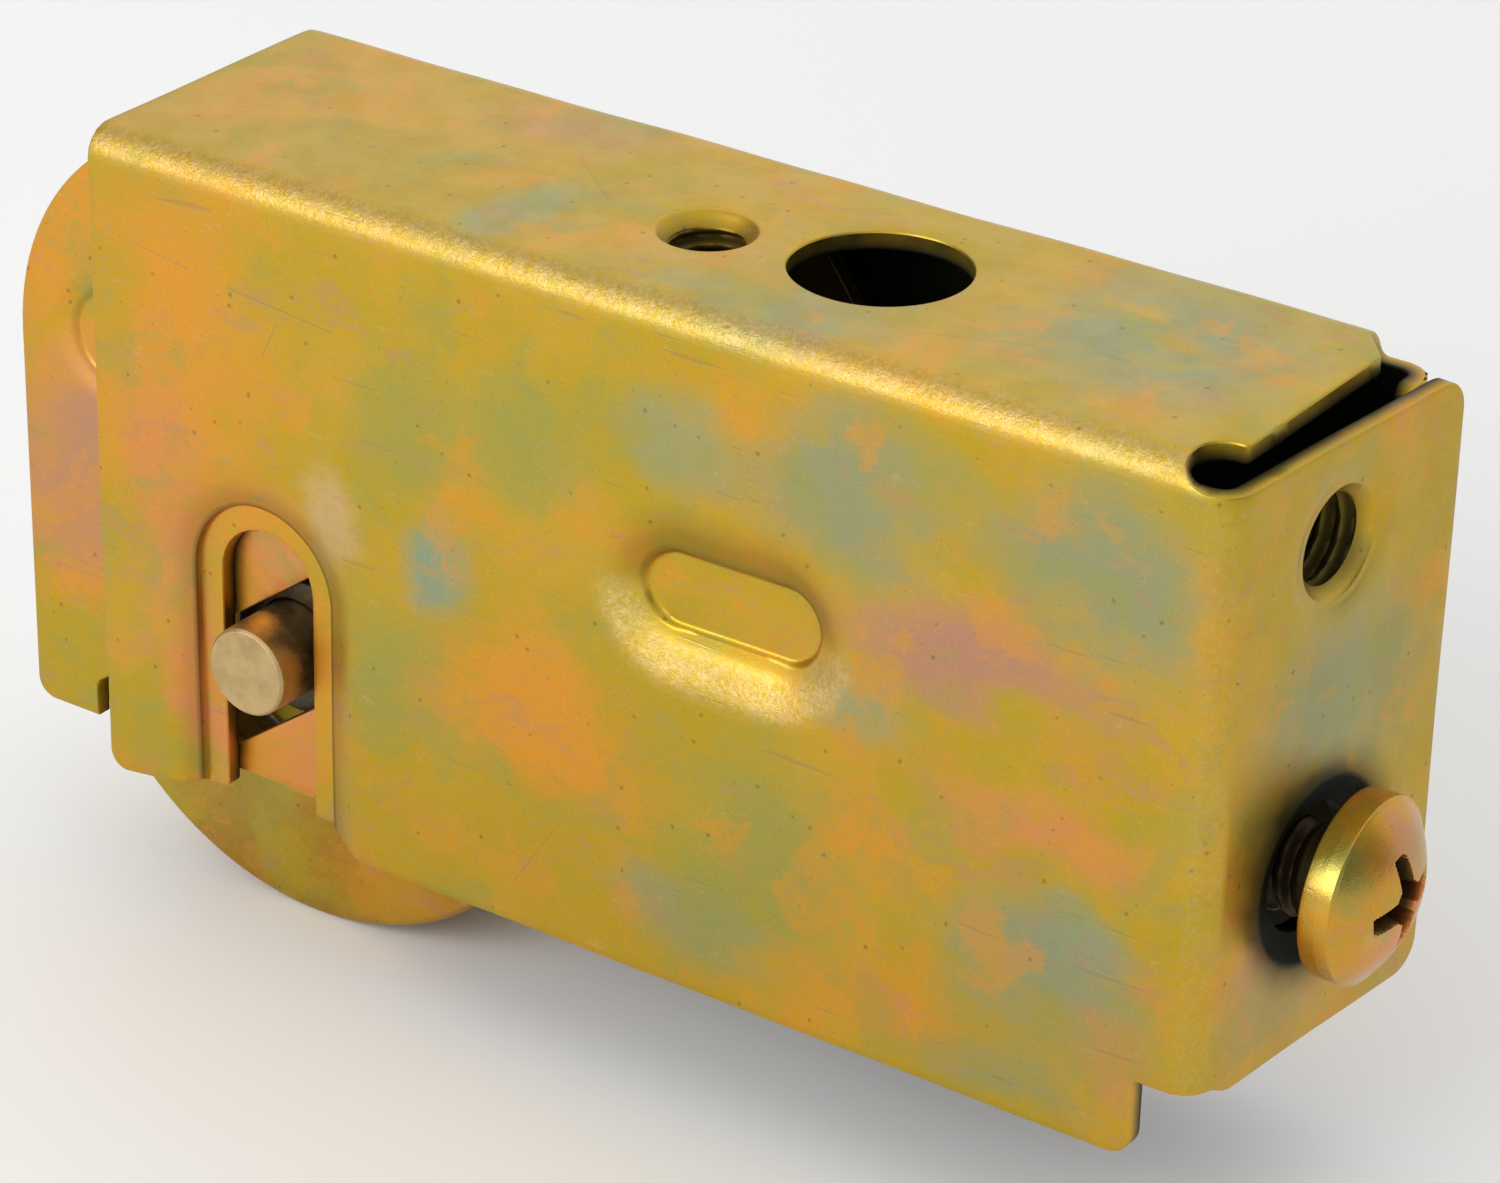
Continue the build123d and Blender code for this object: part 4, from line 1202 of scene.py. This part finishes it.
def fold_slider(u, v, depth):
    """u up to WALL_HALF is the end wall; then an arc of radius BEND; then a plate running to -X."""
    side, w = np.sign(u), np.abs(u)
    turn = np.clip((w - WALL_HALF) / BEND, 0, math.pi / 2)
    x = WALL_X - BEND * (1 - np.cos(turn)) - np.maximum(w - WALL_HALF - ARC, 0)
    y = np.minimum(w, WALL_HALF) + BEND * np.sin(turn)
    place = np.stack([x, side * y, v + 0 * u], -1)
    normal = np.stack([np.cos(turn), side * np.sin(turn), 0 * u], -1)
    return place - normal * np.asarray(depth)[..., None]


# %% Slider outline
def nose_arc(count):
    """The slider's rounded nose: part of a circle from its left edge up to the top edge."""
    centre_x = S_LEFT + NOSE_R
    last = math.pi - math.asin((S_TOP - NOSE_Z) / NOSE_R)
    angle = np.linspace(math.pi, last, count)
    return np.stack([centre_x + NOSE_R * np.cos(angle), NOSE_Z + NOSE_R * np.sin(angle)], -1)


def plate_outline():
    """One plate's edge in (x, z), from the wall's bottom round to the wall's top."""
    along = np.array((math.cos(SLOT_SLOPE), math.sin(SLOT_SLOPE)))
    normal = np.array((-along[1], along[0]))
    centre = np.array((0.0, SLANT_Z))
    end = centre + along * SLANT_RUN
    drop = SLANT_Z - SLANT_HALF * normal[1] - S_BOTTOM
    lower_exit = centre - normal * SLANT_HALF - along * (drop / along[1])
    mouth_x = -15.4
    mouth = centre + normal * SLANT_HALF
    mouth = mouth + along * ((mouth_x - mouth[0]) / along[0])
    reach = SLANT_HALF * 0.995
    slot = rounded([(*lower_exit, 0), (*(end - normal * SLANT_HALF + along * SLANT_HALF), reach),
                    (*(end + normal * SLANT_HALF + along * SLANT_HALF), reach), (*mouth, 0.6),
                    (mouth_x, S_BOTTOM, 0)], step=0.9, closed=False)
    foot = rounded([(*slot[-1], 0), (S_LEFT, S_BOTTOM, 1.4), (S_LEFT, NOSE_Z, 0)], step=0.9, closed=False)
    nose = nose_arc(18)
    top = rounded([(*nose[-1], 0), (27.0, S_TOP, 3.0), (38.0, WALL_TOP, 2.0), (WALL_X - BEND, WALL_TOP, 0)],
                  step=0.9, closed=False)
    return np.concatenate([slot, foot[1:], nose[1:], top[1:]])


plate = plate_outline()
front_edge = np.stack([-plate_u(plate[:, 0]), plate[:, 1]], -1)
back_edge = front_edge[::-1] * (-1, 1)
# The two edges that run round the folds are cut into short steps, so that they can bend.
wall_top = np.linspace(front_edge[-1, 0], back_edge[0, 0], 41)[1:-1]
bottom = np.linspace(back_edge[-1, 0], front_edge[0, 0], 241)[1:-1]
slider_outline = np.concatenate([front_edge, np.stack([wall_top, WALL_TOP + 0 * wall_top], -1), back_edge,
                                 np.stack([bottom, front_edge[0, 1] + 0 * bottom], -1)])
print("slider outline:", len(slider_outline), "points, area", round(abs(area(slider_outline))), "mm2")

# %% Slider press and fill
DENT = np.array((-13.2, -15.0))


def press_slider(u, v):
    """A round dimple near each plate's nose keeps the wheel off the plate."""
    away = np.hypot(np.abs(u) - plate_u(DENT[0]), v - DENT[1])
    depth = 0.40 * smooth((4.7 - away) / 1.9) + 0.12 * smooth((3.0 - away) / 0.25)
    nut = np.hypot(u, v - SCREW_Z)
    return depth + 0.15 * smooth((6.0 - nut) / 2.0)


def worked_and_highlight_slider(u, v):
    """A painted highlight, with the bent metal's grain, along the two folds beside the end wall."""
    return 0.7 * hump((np.abs(u) - WALL_HALF) / ARC)


def painted_shade_slider(u, v):
    """Painted shade: a faint dark ring at the foot of each dimple's step."""
    away = np.hypot(np.abs(u) - plate_u(DENT[0]), v - DENT[1])
    return 0.3 * smooth((away - 2.8) / 0.2) * smooth((3.5 - away) / 0.4)


def slider_fill():
    """An even grid, left out round the dimples and the nut, and rings round the nut."""
    end = plate_u(S_LEFT)
    half = np.concatenate([np.arange(0.6, WALL_HALF, 1.2), WALL_HALF + ARC * np.arange(0, 9) / 8,
                           np.arange(WALL_HALF + ARC + 0.9, end, 1.3)])
    grid = np.stack(np.meshgrid(np.concatenate([-half, half]), np.arange(S_BOTTOM + 0.7, S_TOP, 1.3),
                                indexing="ij"), -1).reshape(-1, 2)
    dent = np.hypot(np.abs(grid[:, 0]) - plate_u(DENT[0]), grid[:, 1] - DENT[1]) < 5.2
    nut = np.hypot(grid[:, 0], grid[:, 1] - SCREW_Z) < 6.4
    rings = [ring(0, SCREW_Z, r, 60) for r in (4.7, 5.2, 5.7, 6.2)]
    return np.concatenate([grid[~(dent | nut)], *rings])


def dent_creases():
    """Circles round each plate's dimple, closed on their first point."""
    rows = []
    for side in (-1, 1):
        for radius in (0.8, 1.6, 2.3, 2.7, 2.84, 2.9, 2.96, 3.1, 3.5, 3.9, 4.3, 4.7):
            circle = ring(side * plate_u(DENT[0]), DENT[1], radius, 60)
            rows.append(np.concatenate([circle, circle[:1]]))
    return rows


# %% Slider
nut_hole = [(0.0, SCREW_Z, 3.0, 1.27)]
points, faces, marks = fold_sheet(slider_outline, [], nut_hole, dent_creases(), slider_fill(), 0.4,
                                  press_slider, fold_slider, worked_and_highlight_slider, painted_shade_slider)
# The slider's painted shade is a little weaker than the housing's.
marks["inner"] *= 0.8
add_piece("slider_sheet", points, faces, "slider", zinc_slider, ["slider"], marks=marks)

# %% [markdown]
# ## Adjusting screw
#
# A pan head with a cross recess and a long threaded shank. The head's face is a height field over a
# polar grid: a dome less the depth of the recess. The shank is a screw surface like the tapped holes,
# but facing outward, and it keeps to the working model's radius so that it never cuts the nut.

# %% Screw sizes
HEAD_R = (screw_high[1] - screw_low[1]) / 2
HEAD_H = 4.2
HEAD_RIM = 2.1
HEAD_SEAT = HEAD_X - HEAD_H
SCREW_R = 2.93
PITCH = 1.27
TIP_X = screw_low[0]
FACE_R = HEAD_R - 0.22
RECESS_TURN = math.radians(9.5)


def recess_depth(y, z):
    """A cross recess: each arm's floor rises to its end, and its walls are steep steps."""
    c, s = math.cos(RECESS_TURN), math.sin(RECESS_TURN)
    a, b = y * c + z * s, -y * s + z * c

    def arm(along, over):
        floor = 2.6 * np.clip(1 - (np.abs(along) / 3.05) ** 2.2, 0, 1)
        half = 0.68 - 0.05 * np.abs(along)
        return floor * smooth((half - np.abs(over)) / 0.14 + 0.5)

    middle = 2.6 * smooth((1.35 - np.hypot(a, b)) / 0.5)
    return np.maximum(np.maximum(arm(a, b), arm(b, a)), middle)


# %% Screw mesh
def screw_profile():
    """(radius, x) rows from the middle of the head's face to the shank's tip."""
    share = np.linspace(0.0, 1.0, 130)[1:]
    face_r = share * FACE_R
    dome = HEAD_X - (HEAD_H - HEAD_RIM) * share ** 2.1
    rim = rounded([(face_r[-1], dome[-1], 0), (HEAD_R - 0.02, HEAD_SEAT + HEAD_RIM - 0.1, 0.12),
                   (HEAD_R, HEAD_SEAT + 1.2, 0.3), (HEAD_R - 0.05, HEAD_SEAT, 0.22),
                   (SCREW_R + 0.5, HEAD_SEAT, 0.3), (SCREW_R - 0.1, HEAD_SEAT - 0.5, 0.3)],
                  step=0.4, closed=False)[1:]
    shank_x = np.arange(HEAD_SEAT - 0.7, TIP_X + 0.9, -PITCH / 12)
    shank = np.stack([SCREW_R + 0 * shank_x, shank_x], -1)
    tip = np.array([(SCREW_R - 0.45, TIP_X + 0.45), (SCREW_R - 0.8, TIP_X + 0.05),
                    (SCREW_R - 1.0, TIP_X), (0, TIP_X)])
    return np.concatenate([[(0.0, HEAD_X)], np.stack([face_r, dome], -1), rim, shank, tip])


SEGMENTS = 224
profile = screw_profile()
rows = profile[1:-1]
angle = np.linspace(0, 2 * math.pi, SEGMENTS, endpoint=False)[:, None]
radius = np.broadcast_to(rows[:, 0], (SEGMENTS, len(rows))).copy()
along = np.broadcast_to(rows[:, 1], radius.shape).copy()
shank_part = (along < HEAD_SEAT - 0.65) & (radius > SCREW_R - 0.5)
fade = smooth((HEAD_SEAT - 1.2 - along) / 1.2) * smooth((along - TIP_X - 0.1) / 0.6)
radius -= shank_part * 0.62 * thread_wave(along / PITCH - angle / (2 * math.pi)) * fade
y, z = radius * np.cos(angle), radius * np.sin(angle)
face_part = (along > HEAD_SEAT + HEAD_RIM) & (radius < FACE_R - 0.1)
along -= face_part * recess_depth(y, z)
poles = np.array([(HEAD_X - recess_depth(0.0, 0.0), 0, SCREW_Z), (TIP_X, 0, SCREW_Z)])
points = np.concatenate([np.stack([along, y, z + SCREW_Z], -1).reshape(-1, 3), poles])
# Painted shade: the cross recess darkens with its depth, and the shank is darkest just under the head and
# less dark towards the tip.
dark = face_part * smooth(recess_depth(y, z) / 0.8) * 0.85
dark = np.maximum(dark, (along < HEAD_SEAT + 0.02) * (0.3 + 0.65 * smooth((along - HEAD_SEAT + 6.0) / 2.0)))
marks = {"inner": np.concatenate([dark.ravel(), (0.85, 0.3)])}
faces = [lattice(SEGMENTS, len(rows), False), fans(SEGMENTS, len(rows))]
add_piece("screw", points, faces, "adjusting_screw", zinc_screw, ["adjusting_screw"],
          marks=marks)

# %% [markdown]
# ## The bearing inside
#
# The races, the cage, the ten balls and the dust shields keep their working shapes, which are right as
# they are. They only need their finishes.

# %% Finishes for the bearing
shown_finish = {"dust_shield": zinc_wheel}
for name, node in frame["nodes"].items():
    if node.hide_render:
        continue
    stem = name.rsplit("_", 1)[0]
    node.data.materials.clear()
    node.data.materials.append(shown_finish.get(stem, bearing_steel))
    node.data.shade_smooth()
    node.data.set_sharp_from_angle(angle=math.radians(35))
